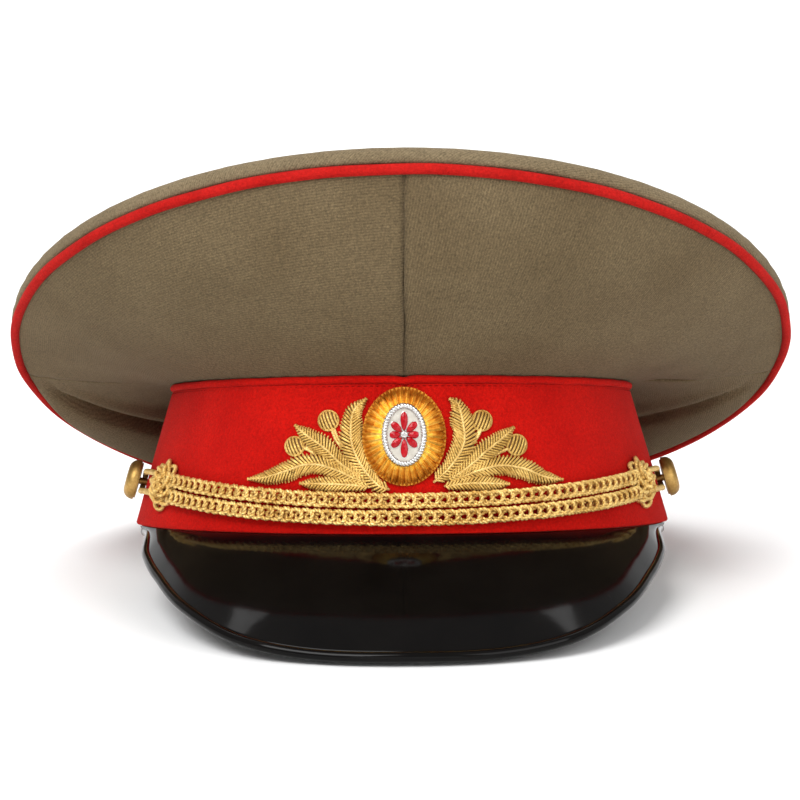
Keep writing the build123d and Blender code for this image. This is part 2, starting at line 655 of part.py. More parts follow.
# knots of the cord and the loops from the knots round the button shanks
knot_layer = band_ring(-5.6, -0.25, 1, 30)
loop_layer = band_ring(-2.45, -0.25, 1, 30)
for side, sign in (("left", -1), ("right", 1)):
    with BuildPart() as knot:
        with BuildSketch(band_plane(sign * KNOT_AZ, 13.6, -12)):
            RectangleRounded(13.0, 14.6, 3.0)
        extrude(amount=24)
        add(knot_layer, mode=Mode.INTERSECT)
    knot.part.label = "cord_knot_" + side
    export_step(REST * knot.part, "parts/cord_knot_" + side + ".step")

    # a long eye: it starts behind the knot and closes round the shank
    middle_az = (KNOT_AZ + BUTTON_AZ) / 2 + 2.2
    plane = band_plane(sign * middle_az, BUTTON_Z, -12)
    eye = plane.to_local_coords(BUTTON_PLANES[side].origin)
    inner = plane.to_local_coords(around(sign * (KNOT_AZ + 4.6), band_radius(KNOT_AZ + 4.6, BUTTON_Z), BUTTON_Z))
    toward = 1 if inner.X > eye.X else -1
    near = inner.X - toward * 4.8
    centre = ((eye.X + near) / 2, eye.Y)
    with BuildPart() as loop:
        with BuildSketch(plane):
            with Locations(centre):
                SlotCenterToCenter(abs(eye.X - near), 8.8)
                SlotCenterToCenter(abs(eye.X - near), 4.8, mode=Mode.SUBTRACT)
        extrude(amount=24)
        add(loop_layer, mode=Mode.INTERSECT)
    loop.part.label = "cord_end_loop_" + side
    export_step(REST * loop.part, "parts/cord_end_loop_" + side + ".step")

# =========================================================== the side buttons
for side, plane in BUTTON_PLANES.items():
    # stamped dome, a thin shell closed by its back
    with BuildPart() as dome_hollow:
        with BuildSketch(plane.offset(3.0)):
            Circle(BUTTON_R - 0.65)
        extrude(amount=3.7)
        fillet(dome_hollow.faces().sort_by(lambda f: plane.to_local_coords(f.center()).Z)[-1].edges(), radius=2.6)
    with BuildPart() as dome:
        with BuildSketch(plane.offset(3.45)):
            Circle(BUTTON_R)
        extrude(amount=3.95)
        fillet(dome.faces().sort_by(lambda f: plane.to_local_coords(f.center()).Z)[-1].edges(), radius=3.2)
        add(dome_hollow.part, mode=Mode.SUBTRACT)
    dome.part.label = "side_button_dome_" + side
    export_step(REST * dome.part, "parts/side_button_dome_" + side + ".step")

    with BuildPart() as back:
        with BuildSketch(plane.offset(2.85)):
            Circle(BUTTON_R - 0.7)
        extrude(amount=0.6)
        with BuildSketch(plane.offset(2.85)):
            Circle(SHANK_R)
        extrude(amount=-(2.85 + 3.55))
    back.part.label = "side_button_shank_" + side
    export_step(REST * back.part, "parts/side_button_shank_" + side + ".step")

    # split fastener spread behind the stiffener
    with BuildPart() as fastener:
        with BuildSketch(plane.offset(-4.2)):
            RectangleRounded(3.0, 15.0, 1.2)
        extrude(amount=0.65)
    fastener.part.label = "side_button_fastener_" + side
    export_step(REST * fastener.part, "parts/side_button_fastener_" + side + ".step")
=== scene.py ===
import bpy, math
import numpy as np
from mathutils import Matrix, Vector


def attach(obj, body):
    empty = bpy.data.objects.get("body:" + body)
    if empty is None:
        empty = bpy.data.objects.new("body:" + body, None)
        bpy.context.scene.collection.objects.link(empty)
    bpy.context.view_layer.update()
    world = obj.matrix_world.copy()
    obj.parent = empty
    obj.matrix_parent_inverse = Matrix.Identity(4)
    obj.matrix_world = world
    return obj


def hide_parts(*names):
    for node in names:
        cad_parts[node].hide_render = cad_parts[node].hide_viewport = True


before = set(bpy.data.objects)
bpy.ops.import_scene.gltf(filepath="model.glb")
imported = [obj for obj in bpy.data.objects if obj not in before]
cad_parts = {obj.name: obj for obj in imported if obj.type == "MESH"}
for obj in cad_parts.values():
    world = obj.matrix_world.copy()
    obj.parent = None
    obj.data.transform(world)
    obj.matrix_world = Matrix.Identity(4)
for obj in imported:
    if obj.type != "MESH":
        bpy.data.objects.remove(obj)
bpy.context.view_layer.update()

# ------------------------------------------------------------------ the frame
TH, LIFT, SHIFT = math.radians(-7.586), 15.30, 7.4355
CT, ST = math.cos(TH), math.sin(TH)
rng = np.random.default_rng(7)


def rest(p):
    """Worn attitude in mm -> the row's frame in metres."""
    p = np.asarray(p, float)
    return np.stack([p[..., 0], p[..., 1] * CT - p[..., 2] * ST + SHIFT, p[..., 1] * ST + p[..., 2] * CT + LIFT], -1) / 1000


BOT, TOP, BH = (94.0, 104.0), (80.5, 98.0), 48.0


def band_r(az, z, inset=0.0):
    """az in radians from the front, + toward +X."""
    k = z / BH
    a = BOT[0] + (TOP[0] - BOT[0]) * k - inset
    b = BOT[1] + (TOP[1] - BOT[1]) * k - inset
    return 1 / np.sqrt((np.sin(az) / a) ** 2 + (np.cos(az) / b) ** 2)


def around(az, r, z):
    az, r, z = np.broadcast_arrays(az, r, z)
    return np.stack([r * np.sin(az), -r * np.cos(az), z], -1)


def band_pt(az, z, lift=0.0):
    """Point lifted off the band along its own normal."""
    az, z, lift = np.broadcast_arrays(np.asarray(az, float), z, lift)
    d = 1e-3
    p = around(az, band_r(az, z), z)
    n = np.cross(around(az + d, band_r(az + d, z), z) - p, around(az, band_r(az, z + d), z + d) - p)
    n /= np.linalg.norm(n, axis=-1, keepdims=True)
    return p + n * lift[..., None]


def band_xz(x, z, lift=0.0):
    """Front face of the band under a point given by x and z."""
    x, z, lift = np.broadcast_arrays(np.asarray(x, float), z, lift)
    k = z / BH
    a = BOT[0] + (TOP[0] - BOT[0]) * k
    b = BOT[1] + (TOP[1] - BOT[1]) * k
    y = -b * np.sqrt(np.clip(1 - (x / a) ** 2, 0, 1))
    return band_pt(np.arctan2(x, -y), z, lift)


SLOPE = math.radians(20.98)
SL, CL = math.sin(SLOPE), math.cos(SLOPE)
RA, RB, RC = 134.8, 142.4, np.array([0, -3.0, 54.5])


def rim_local(u, v, w):
    u, v, w = np.broadcast_arrays(u, v, w)
    return np.stack([u, RC[1] + v * CL + w * SL, RC[2] - v * SL + w * CL], -1)


def rim_at(az):
    t = np.linspace(-math.pi, math.pi, 4001)
    x, y = RA * np.sin(t), RC[1] - RB * CL * np.cos(t)
    a = np.unwrap(np.arctan2(x, -y))
    tt = np.interp(az, a, t)
    x, y = RA * np.sin(tt), RC[1] - RB * CL * np.cos(tt)
    return np.hypot(x, y), RC[2] + RB * SL * np.cos(tt)


def quarter_line(az, k):
    """Crown quarter in its radial plane: radius, height and outward normal."""
    c = np.cos(az)
    ao, ai = np.radians(5 + 30 * c), np.radians(14 + 66.5 * c - 5.5 * c * c)
    r1, z1 = rim_at(az)
    p0 = np.stack([band_r(az, BH) + 0.2, 0 * az + BH + 0.4])
    p3 = np.stack([r1 - 1.1 * np.cos(ai), z1 - 1.1 * np.sin(ai)])
    reach = 0.36 * np.hypot(*(p3 - p0))
    p1 = p0 + reach * np.stack([np.cos(ao), np.sin(ao)])
    p2 = p3 - reach * np.stack([np.cos(ai), np.sin(ai)])
    q = 1 - k
    p = q ** 3 * p0 + 3 * q * q * k * p1 + 3 * q * k * k * p2 + k ** 3 * p3
    d = 3 * q * q * (p1 - p0) + 6 * q * k * (p2 - p1) + 3 * k * k * (p3 - p2)
    n = np.hypot(*d)
    return p[0], p[1], d[1] / n, -d[0] / n


def soft(shape, seed, rough=3):
    """Smooth repeatable unevenness on a grid, about -1..1."""
    g = np.random.default_rng(seed)
    a, b = np.meshgrid(np.linspace(0, 1, shape[0]), np.linspace(0, 1, shape[1]), indexing="ij")
    out = np.zeros(shape)
    for i in range(7):
        f, h = g.uniform(0.5, rough, 2)
        out += np.sin(2 * math.pi * (f * a * g.choice([-1, 1]) + h * b) + g.uniform(0, 6.28)) / (1 + 0.4 * i)
    return out / 3


# ------------------------------------------------------------------ materials
def srgb(r, g, b):
    f = lambda c: (c / 255 / 12.92) if c / 255 <= 0.04045 else ((c / 255 + 0.055) / 1.055) ** 2.4
    return (f(r), f(g), f(b), 1)


class Mat:
    """A procedural material on one Principled shader."""

    def __init__(self, name, **sockets):
        self.m = bpy.data.materials.new(name)
        self.m.use_nodes = True
        self.t = self.m.node_tree
        self.b = self.t.nodes["Principled BSDF"]
        for k, v in sockets.items():
            self.b.inputs[k.replace("_", " ")].default_value = v
        self.normal = None

    def n(self, kind, **inputs):
        node = self.t.nodes.new(kind)
        for k, v in inputs.items():
            k = k.replace("_", " ")
            if k in node.inputs:
                node.inputs[k].default_value = v
        return node

    def link(self, a, b):
        self.t.links.new(a, b)

    def coords(self, kind="Object", scale=1.0, rot=0.0):
        c, m = self.n("ShaderNodeTexCoord"), self.n("ShaderNodeMapping")
        m.inputs["Scale"].default_value = (scale,) * 3
        m.inputs["Rotation"].default_value = (0, 0, rot)
        self.link(c.outputs[kind], m.inputs["Vector"])
        return m.outputs["Vector"]

    def noise(self, vec, scale, detail=3.0, rough=0.55):
        x = self.n("ShaderNodeTexNoise", Scale=scale, Detail=detail, Roughness=rough)
        self.link(vec, x.inputs["Vector"])
        return x.outputs["Fac"]

    def wave(self, vec, scale, distort=0.0, detail=1.0, kind="BANDS", axis="X", profile="SIN"):
        x = self.n("ShaderNodeTexWave", Scale=scale, Distortion=distort, Detail=detail)
        x.wave_type, x.bands_direction, x.wave_profile = kind, axis, profile
        self.link(vec, x.inputs["Vector"])
        return x.outputs["Fac"]

    def ramp(self, fac, *stops):
        r = self.n("ShaderNodeValToRGB")
        e = r.color_ramp.elements
        e[0].position, e[0].color = stops[0]
        e[1].position, e[1].color = stops[-1]
        for p, c in stops[1:-1]:
            x = e.new(p)
            x.color = c
        self.link(fac, r.inputs["Fac"])
        return r.outputs["Color"]

    def mix(self, fac, a, b, mode="MIX"):
        x = self.t.nodes.new("ShaderNodeMix")
        x.data_type, x.blend_type = "RGBA", mode
        for s, v in ((x.inputs["Factor"], fac), (x.inputs["A"], a), (x.inputs["B"], b)):
            if hasattr(v, "is_output") or isinstance(v, bpy.types.NodeSocket):
                self.link(v, s)
            else:
                s.default_value = v
        return x.outputs["Result"]

    def color(self, out):
        self.link(out, self.b.inputs["Base Color"])

    def rough(self, fac, lo, hi):
        x = self.n("ShaderNodeMapRange")
        x.inputs["To Min"].default_value, x.inputs["To Max"].default_value = lo, hi
        self.link(fac, x.inputs["Value"])
        self.link(x.outputs["Result"], self.b.inputs["Roughness"])

    def bump(self, fac, strength, distance=0.0003):
        x = self.n("ShaderNodeBump", Strength=strength, Distance=distance)
        self.link(fac, x.inputs["Height"])
        if self.normal is not None:
            self.link(self.normal, x.inputs["Normal"])
        self.normal = x.outputs["Normal"]
        self.link(self.normal, self.b.inputs["Normal"])


def wool(name, turn, lift=0):
    """Olive gabardine: fine twill ribs over a mottled wool ground."""
    m = Mat(name, Roughness=0.9, Sheen_Weight=0.06, Sheen_Roughness=0.5, Sheen_Tint=(0.75, 0.68, 0.52, 1), Specular_IOR_Level=0.12)
    uv = m.coords("UV", 1.0, turn)
    ob = m.coords("Object", 1000.0)
    rib = m.wave(uv, 0.40, 3.0, 3.0)
    cross = m.wave(uv, 0.62, 2.5, 2.0, axis="Y")
    big, fine = m.noise(ob, 0.035, 3.0), m.noise(ob, 1.45, 4.0, 0.8)
    # lift raises the base colour; it is used only as painted light, to make the top panel lighter than the quarters
    base = m.ramp(big, (0.25, srgb(95 + lift, 81 + lift, 59 + lift)), (0.75, srgb(107 + lift, 93 + lift, 70 + lift)))
    thread = m.ramp(rib, (0.0, (0.80, 0.79, 0.77, 1)), (0.45, (0.98, 0.98, 0.97, 1)), (1.0, (1.09, 1.08, 1.06, 1)))
    fleck = m.ramp(fine, (0.34, (0.46, 0.45, 0.43, 1)), (0.66, (1.5, 1.49, 1.46, 1)))
    m.color(m.mix(0.75, m.mix(0.8, base, thread, "MULTIPLY"), fleck, "MULTIPLY"))
    m.bump(rib, 0.3, 0.00025)
    m.bump(cross, 0.18, 0.0002)
    m.bump(fine, 0.6, 0.0004)
    return m.m


def felt(name, lo, hi, nap=0.6):
    m = Mat(name, Roughness=0.95, Sheen_Weight=0.05, Sheen_Roughness=0.4, Sheen_Tint=(1.0, 0.35, 0.30, 1), Specular_IOR_Level=0.08)
    ob = m.coords("Object", 1000.0)
    big, mid, fine = m.noise(ob, 0.06, 4.0), m.noise(ob, 0.6, 5.0, 0.7), m.noise(ob, 1.15, 4.0, 0.85)
    m.color(m.mix(0.5, m.ramp(big, (0.3, lo), (0.7, hi)), m.ramp(fine, (0.32, (0.34, 0.25, 0.25, 1)), (0.68, (1.5, 1.45, 1.4, 1))), "MULTIPLY"))
    m.bump(mid, 0.5 * nap, 0.0006)
    m.bump(fine, 1.0 * nap, 0.0005)
    return m.m


def gold(name, lo, mid, hi, rough=(0.28, 0.5), grain=0.5, metal=0.92):
    m = Mat(name, Metallic=metal, Roughness=0.36)
    ob = m.coords("Object", 1000.0)
    a, b, f = m.noise(ob, 0.16, 2.0), m.noise(ob, 1.3, 3.0), m.noise(ob, 6.0, 2.0)
    m.color(m.mix(0.55, m.ramp(b, (0.28, lo), (0.5, mid), (0.72, hi)), m.ramp(a, (0.3, lo), (0.7, hi))))
    m.rough(b, *rough)
    m.bump(m.wave(ob, 0.75, 3.0, 2.0, axis="DIAGONAL"), grain, 0.00016)
    m.bump(f, grain * 0.6, 0.0001)
    return m.m


WOOL_L, WOOL_R = wool("wool_twill_left", 1.52), wool("wool_twill_right", 0.20)
# the top panel is the same wool with its base colour raised by 13: painted light on the upward-facing top
WOOL_B, WOOL_TOP_PAINTED_LIGHT = wool("wool_twill_rear", 1.15), wool("wool_twill_top_painted_light", 0.85, 13)
FELT = felt("band_felt_red", srgb(172, 12, 6), srgb(188, 18, 9), 0.8)
PIPE = felt("piping_cloth_red", srgb(160, 20, 16), srgb(180, 29, 25), 0.6)
GOLD = gold("bullion_gold", srgb(164, 122, 50), srgb(206, 164, 82), srgb(240, 206, 124), (0.34, 0.55), 0.5, 0.66)
GOLDL = gold("bullion_midrib", srgb(196, 156, 80), srgb(228, 192, 112), srgb(250, 226, 158), (0.34, 0.55), 0.4, 0.62)
CORDM = gold("gimp_cord_gold", srgb(184, 140, 64), srgb(224, 182, 98), srgb(250, 222, 148), (0.32, 0.5), 0.5, 0.64)
PAD = gold("embroidery_padding", srgb(84, 56, 20), srgb(112, 78, 32), srgb(140, 100, 46), (0.6, 0.8), 0.3, 0.2)
# the deep and bright gilt below are shaded and lit copies of the gilt: painted shade and painted highlight for the
# sunburst
GILT_PAINTED_SHADE = gold("gilt_stamping_painted_shade", srgb(150, 84, 16), srgb(204, 130, 36), srgb(236, 176, 66), (0.32, 0.5), 0.15, 0.8)
GILT_PAINTED_HIGHLIGHT = gold("gilt_stamping_painted_highlight", srgb(222, 160, 44), srgb(248, 202, 76), srgb(255, 232, 130), (0.3, 0.46), 0.12, 0.72)
GILT = gold("gilt_stamping", srgb(190, 124, 34), srgb(232, 172, 60), srgb(252, 210, 104), (0.3, 0.46), 0.15, 0.8)
BRASS = gold("plain_brass", srgb(140, 104, 50), srgb(180, 140, 74), srgb(205, 170, 104), (0.3, 0.5), 0.2, 0.95)


def simple(name, lo, hi, scale=0.5, bump=0.3, dist=0.0002, rough=None, **s):
    m = Mat(name, **s)
    ob = m.coords("Object", 1000.0)
    f = m.noise(ob, scale, 4.0, 0.6)
    m.color(m.ramp(f, (0.3, lo), (0.7, hi)))
    if rough:
        m.rough(m.noise(ob, scale * 0.4, 3.0), *rough)
    m.bump(m.noise(ob, scale * 2.5, 3.0), bump, dist)
    return m.m


SILVER = simple("bright_silver", srgb(176, 174, 170), srgb(232, 231, 228), 1.2, 0.3, 0.0001, (0.2, 0.38), Metallic=0.97)
WHITE = simple("white_enamel", srgb(176, 170, 158), srgb(198, 193, 182), 0.5, 0.12, 0.0002, (0.2, 0.34), Coat_Weight=0.4, Coat_Roughness=0.1)
REDEN = simple("red_enamel", srgb(150, 0, 14), srgb(178, 4, 22), 0.5, 0.06, 0.0001, (0.12, 0.2), IOR=1.3, Coat_Weight=0.15, Coat_Roughness=0.06)
STEEL = simple("spring_steel", srgb(140, 142, 146), srgb(176, 178, 182), 1.2, 0.2, 0.0001, (0.28, 0.45), Metallic=1.0)
CARD = simple("pressed_card", srgb(150, 128, 96), srgb(172, 150, 114), 0.4, 0.4, 0.0002, (0.8, 0.95))


def patent():
    m = Mat("patent_lacquer_black", Roughness=0.1, IOR=1.2, Coat_Weight=0.06, Coat_Roughness=0.04, Coat_IOR=1.35)
    ob = m.coords("Object", 1000.0)
    m.color(m.ramp(m.noise(ob, 0.05, 3.0), (0.3, srgb(5, 4, 4)), (0.7, srgb(11, 9, 8))))
    m.rough(m.noise(ob, 0.25, 4.0), 0.05, 0.14)
    m.bump(m.noise(ob, 0.11, 2.0), 0.05, 0.0006)
    m.bump(m.noise(ob, 3.0, 2.0), 0.02, 0.0001)
    return m.m


PATENT = patent()


def leather(name, lo, hi, grain=0.9, coat=0.1):
    m = Mat(name, Roughness=0.5, Coat_Weight=coat, Coat_Roughness=0.3)
    ob = m.coords("Object", 1000.0)
    v = m.n("ShaderNodeTexVoronoi", Scale=grain)
    v.feature = "DISTANCE_TO_EDGE"
    m.link(ob, v.inputs["Vector"])
    cell = m.ramp(v.outputs["Distance"], (0.0, (0, 0, 0, 1)), (0.18, (1, 1, 1, 1)))
    m.color(m.mix(0.45, m.ramp(m.noise(ob, 0.05, 5.0), (0.3, lo), (0.7, hi)), cell, "MULTIPLY"))
    m.rough(m.noise(ob, 0.2, 3.0), 0.38, 0.6)
    m.bump(cell, 0.5, 0.00025)
    m.bump(m.noise(ob, 3.0, 3.0), 0.25, 0.0001)
    return m.m


SWEAT = leather("sweatband_leather", srgb(112, 70, 42), srgb(146, 96, 62), 0.75)
UNDER = leather("visor_leathercloth", srgb(34, 38, 30), srgb(48, 52, 42), 1.0, 0.05)


def satin():
    m = Mat("lining_satin", Roughness=0.42, Sheen_Weight=0.5, Sheen_Roughness=0.3, Specular_IOR_Level=0.45)
    ob = m.coords("Object", 1000.0)
    w = m.wave(ob, 0.55, 1.0, 2.0, axis="DIAGONAL")
    m.color(m.mix(0.35, m.ramp(m.noise(ob, 0.04, 3.0), (0.3, srgb(116, 106, 70)), (0.7, srgb(142, 132, 92))), m.ramp(w, (0, (0.7, 0.7, 0.7, 1)), (1, (1, 1, 1, 1))), "MULTIPLY"))
    m.bump(w, 0.25, 0.0001)
    m.bump(m.noise(ob, 0.1, 3.0), 0.3, 0.001)
    return m.m


SATIN = satin()
VINYL = simple("clear_vinyl", srgb(226, 230, 222), srgb(240, 242, 236), 0.1, 0.2, 0.0005, (0.05, 0.12), Alpha=0.22, IOR=1.5)
THREAD = simple("sewing_thread", srgb(104, 5, 5), srgb(126, 8, 7), 2.0, 0.5, Roughness=0.9, Specular_IOR_Level=0.05)
THREADB = simple("brown_thread", srgb(66, 44, 30), srgb(92, 64, 42), 2.0, 0.5)
# a dark brown colour for the cord's eye at the button: painted shade standing in for shaded gold; no object uses it
LOOP_PAINTED_SHADE = leather("loop_painted_shade", srgb(60, 34, 20), srgb(86, 52, 30), 1.4, 0.2)


# --------------------------------------------------------------------- meshes
def new_mesh(name, verts, faces, mat, body="cap", uv=None, smooth=True):
    me = bpy.data.meshes.new(name)
    me.from_pydata(rest(verts).tolist(), [], [list(map(int, f)) for f in faces] if not isinstance(faces, np.ndarray) else faces.tolist())
    me.validate()
    me.polygons.foreach_set("use_smooth", [smooth] * len(me.polygons))
    if uv is not None:
        lay = me.uv_layers.new(name="UVMap")
        idx = np.empty(len(me.loops), int)
        me.loops.foreach_get("vertex_index", idx)
        lay.data.foreach_set("uv", np.asarray(uv, float)[idx].ravel())
    me.materials.append(mat)
    ob = bpy.data.objects.new(name, me)
    bpy.context.scene.collection.objects.link(ob)
    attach(ob, body)
    return ob


def grid_faces(n, m, loop_n=False, loop_m=False, off=0):
    i, j = np.meshgrid(np.arange(n if loop_n else n - 1), np.arange(m if loop_m else m - 1), indexing="ij")
    i1, j1 = (i + 1) % n, (j + 1) % m
    return (np.stack([i * m + j, i1 * m + j, i1 * m + j1, i * m + j1], -1).reshape(-1, 4) + off)


def tangent_frames(path, closed=False):
    d = (np.roll(path, -1, 0) - np.roll(path, 1, 0)) if closed else np.gradient(path, axis=0)
    return d / np.linalg.norm(d, axis=1, keepdims=True)


def tube(path, radius, sides=8, closed=False, up=None, flat=1.0, caps=True):
    """Vertices and faces of a tube. up: a reference normal for each point."""
    path = np.asarray(path, float)
    n = len(path)
    t = tangent_frames(path, closed)
    if up is None:
        up = np.tile([0.0, 0.0, 1.0], (n, 1))
        bad = np.abs((t * up).sum(1)) > 0.95
        up[bad] = [1.0, 0, 0]
    s = np.cross(up, t)
    s /= np.linalg.norm(s, axis=1, keepdims=True) + 1e-12
    u = np.cross(t, s)
    a = np.linspace(0, 2 * math.pi, sides, endpoint=False)
    r = np.broadcast_to(radius, (n,))[:, None, None]
    v = path[:, None] + r * (np.cos(a)[None, :, None] * s[:, None] + flat * np.sin(a)[None, :, None] * u[:, None])
    f = grid_faces(n, sides, closed, True)[:, ::-1]
    v = v.reshape(-1, 3)
    if not closed and caps:
        v = np.concatenate([v, path[:1], path[-1:]])
        k = np.arange(sides)
        c0 = np.stack([np.full(sides, n * sides), k, (k + 1) % sides, (k + 1) % sides], 1)
        c1 = np.stack([np.full(sides, n * sides + 1), (n - 1) * sides + (k + 1) % sides, (n - 1) * sides + k, (n - 1) * sides + k], 1)
        tri = np.concatenate([c0, c1])[:, :3]
        return v, f, tri
    return v, f, np.zeros((0, 3), int)


def join(parts):
    V, F, off = [], [], 0
    for v, f, tri in parts:
        V.append(v)
        F += (f + off).tolist()
        F += (tri + off).tolist()
        off += len(v)
    return np.concatenate(V), F


def resample(path, step):
    path = np.asarray(path, float)
    d = np.r_[0, np.cumsum(np.linalg.norm(np.diff(path, axis=0), axis=1))]
    s = np.linspace(0, d[-1], max(3, int(d[-1] / step) + 1))
    return np.stack([np.interp(s, d, path[:, i]) for i in range(3)], 1), s


def plies(path, s, off, r, pitch, count=2, up=None, sides=6, phase=0.0, closed=False):
    """A twisted cord: count plies wound about a path."""
    t = tangent_frames(path, closed)
    if up is None:
        up = np.tile([0.0, 0.0, 1.0], (len(path), 1))
    a = np.cross(up, t)
    a /= np.linalg.norm(a, axis=1, keepdims=True) + 1e-12
    b = np.cross(t, a)
    out = []
    for k in range(count):
        w = 2 * math.pi * (s / pitch + k / count) + phase
        p = path + off * (np.cos(w)[:, None] * a + np.sin(w)[:, None] * b)
        out.append(tube(p, r, sides, closed, up=a * np.cos(w)[:, None] + b * np.sin(w)[:, None]))
    return out


def thicken(ob, mm, offset=-1.0):
    md = ob.modifiers.new("cloth thickness", "SOLIDIFY")
    md.thickness, md.offset, md.use_even_offset = mm / 1000, offset, False


# ---------------------------------------------------------------- the quarters
def quarter(name, a0, a1, mat, seed):
    n, m = 110, 46
    az = np.radians(np.linspace(a0, a1, n))
    kk = np.r_[-0.016, np.linspace(0, 1, m - 1)]
    V = np.zeros((n, m, 3))
    seam = np.where(np.arange(n) < n / 2, 0.12 if abs(a0) == 90 else 1.0, 0.12 if abs(a1) == 90 else 1.0)
    un = soft((n, m), seed, 2.2)
    fine = soft((n, m), seed + 50, 9)
    edge = np.minimum(np.arange(n), np.arange(n)[::-1]) / n
    for j, k in enumerate(kk):
        r, z, nr, nz = quarter_line(az, k)
        mask = math.sin(math.pi * k) ** 0.6 if 0 < k < 1 else 0.0
        d = 0.55 * un[:, j] * mask + 0.10 * fine[:, j] * mask
        # seams pull the cloth in, both ways from each seam
        dist = edge * np.abs(np.radians(a1 - a0)) * r
        d -= 0.75 * seam * np.exp(-(dist / 0.9) ** 2) * min(1, max(0, 14 * k))
        d += 0.22 * seam * np.exp(-((dist - 2.6) / 1.4) ** 2) * mask
        # the slack rear half folds along the rim and bellies below the fold
        deg = np.degrees(np.abs(az))
        g = 1 / (1 + np.exp(-(deg - 99) / 3.0)) * (1.0 if a0 < 0 else 0.5)
        kf = 0.56 + 0.32 * np.exp(-np.clip(deg - 96, 0, None) / 13.0)
        belly = np.exp(-((k - (0.5 * kf + 0.5)) / (0.17 + 0.5 * (0.88 - kf))) ** 2) * min(1.0, (1.0 - k) / 0.05 + 0.3)
        d += g * (-5.0 * np.exp(-((k - kf) / 0.028) ** 2) + 1.7 * np.exp(-((k - kf + 0.10) / 0.06) ** 2) + 6.0 * belly * np.where(k > kf, 1, 0.3) * np.clip((176 - deg) / 40, 0.25, 1))
        # gathers above the band welt
        d += 0.12 * np.sin(az * 96 + seed) * math.exp(-max(k, 0) / 0.05)
        V[:, j] = around(az, r + nr * d, z + nz * d)
    du = np.linalg.norm(np.diff(V, axis=0), axis=2)
    dv = np.linalg.norm(np.diff(V, axis=1), axis=2)
    U = np.zeros((n, m)); W = np.zeros((n, m))
    U[1:] = np.cumsum(du.mean(1))[:, None]
    W[:, 1:] = np.cumsum(dv.mean(0))[None]
    f = grid_faces(n, m)
    ob = new_mesh(name, V.reshape(-1, 3), f, mat, uv=np.stack([U.ravel(), W.ravel()], 1))
    thicken(ob, 1.3)
    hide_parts(name.replace("cloth_", ""))
    return ob


quarter("cloth_crown_quarter_front_left", -90, 0, WOOL_L, 11)
quarter("cloth_crown_quarter_front_right", 0, 90, WOOL_R, 12)
quarter("cloth_crown_quarter_rear_left", -180, -90, WOOL_B, 13)
quarter("cloth_crown_quarter_rear_right", 90, 180, WOOL_B, 14)


# --------------------------------------------------------------- the top panel
def top_panel():
    n = 288
    t = np.linspace(0, 2 * math.pi, n, endpoint=False)
    rows = []
    pleat = 0.07 * np.sin(t * 61 + 1.3 * np.sin(t * 7)) + 0.05 * np.sin(t * 113 + 2)
    for i in range(46):
        k = (i + 0.5) / 46
        rho = k * (1 - 2.7 / 138)
        u, v = RA * rho * np.sin(t), -RB * rho * np.cos(t)
        w = 8.0 + (22 + 0.165 * v) * (1 - rho ** 4)
        w = w + 0.6 * math.sin(math.pi * k) * (np.sin(2 * t + 4 * k) + 0.6 * np.sin(3 * t - 6 * k + 1))
        w = w + 0.9 * np.exp(-((k - 0.93) / 0.05) ** 2) * pleat
        rows.append(rim_local(u, v, w))
    k1 = 1 - 2.7 / 138
    for a in np.linspace(0.12, 1.0, 9):
        ang = a * math.pi / 2
        off, w = -2.7 + 4.2 * math.sin(ang), 3.9 + 4.1 * math.cos(ang)
        w = w + (22 + 0.165 * -RB * np.cos(t)) * (1 - k1 ** 4) * (1 - a)
        o = off + pleat * (0.5 + a)
        rows.append(rim_local((RA + o) * np.sin(t), -(RB + o) * np.cos(t), w))
    for off, w in ((1.45, 2.9), (1.15, 2.2), (0.55, 1.75), (-0.4, 1.7)):
        o = off + pleat * 0.9
        rows.append(rim_local((RA + o) * np.sin(t), -(RB + o) * np.cos(t), w + 0 * t))
    V = np.stack(rows, 0)
    m = len(rows)
    f = grid_faces(m, n, False, True).tolist()
    V = V.reshape(-1, 3)
    V = np.concatenate([V, V[:n].mean(0, keepdims=True)])
    f += [[m * n, j, (j + 1) % n] for j in range(n)]
    prof_ = np.stack(rows, 0)
    arc = np.r_[[[2.0] * n], np.linalg.norm(np.diff(prof_, axis=0), axis=2)].cumsum(0)
    uv = np.stack([(arc * np.sin(t)[None]).ravel(), (arc * -np.cos(t)[None]).ravel()], 1)
    uv = np.concatenate([uv, [[0.0, 0.0]]])
    ob = new_mesh("cloth_crown_top", V, f, WOOL_TOP_PAINTED_LIGHT, uv=uv)
    thicken(ob, 1.3)
    bpy.context.view_layer.update()
    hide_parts("crown_top_panel")
    return ob


TOPOB = top_panel()


# ------------------------------------------------------------ piping and welt
def ring_path(fun, n):
    t = np.linspace(0, 2 * math.pi, n, endpoint=False)
    return fun(t)


pipe = ring_path(lambda t: rim_local((RA + 0.25 * np.sin(t * 23) * 0.4) * np.sin(t), -(RB + 0.1 * np.sin(t * 31)) * np.cos(t), 0.10 * np.sin(t * 17)), 720)
v, f, _ = tube(pipe, 1.6, 14, True)
P1 = new_mesh("cloth_crown_piping", v, f, PIPE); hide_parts("crown_piping")
welt = ring_path(lambda t: around(t, band_r(t, 47.0) - 0.15 + 0.04 * np.sin(t * 41), 46.85 + 0.06 * np.sin(t * 29) - 0.5 * np.exp(-((((t + math.pi) % (2 * math.pi)) - math.pi) / 0.02) ** 2)), 620)
v, f, _ = tube(welt, 1.25, 12, True)
P2 = new_mesh("cloth_band_welt", v, f, FELT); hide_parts("band_piping")


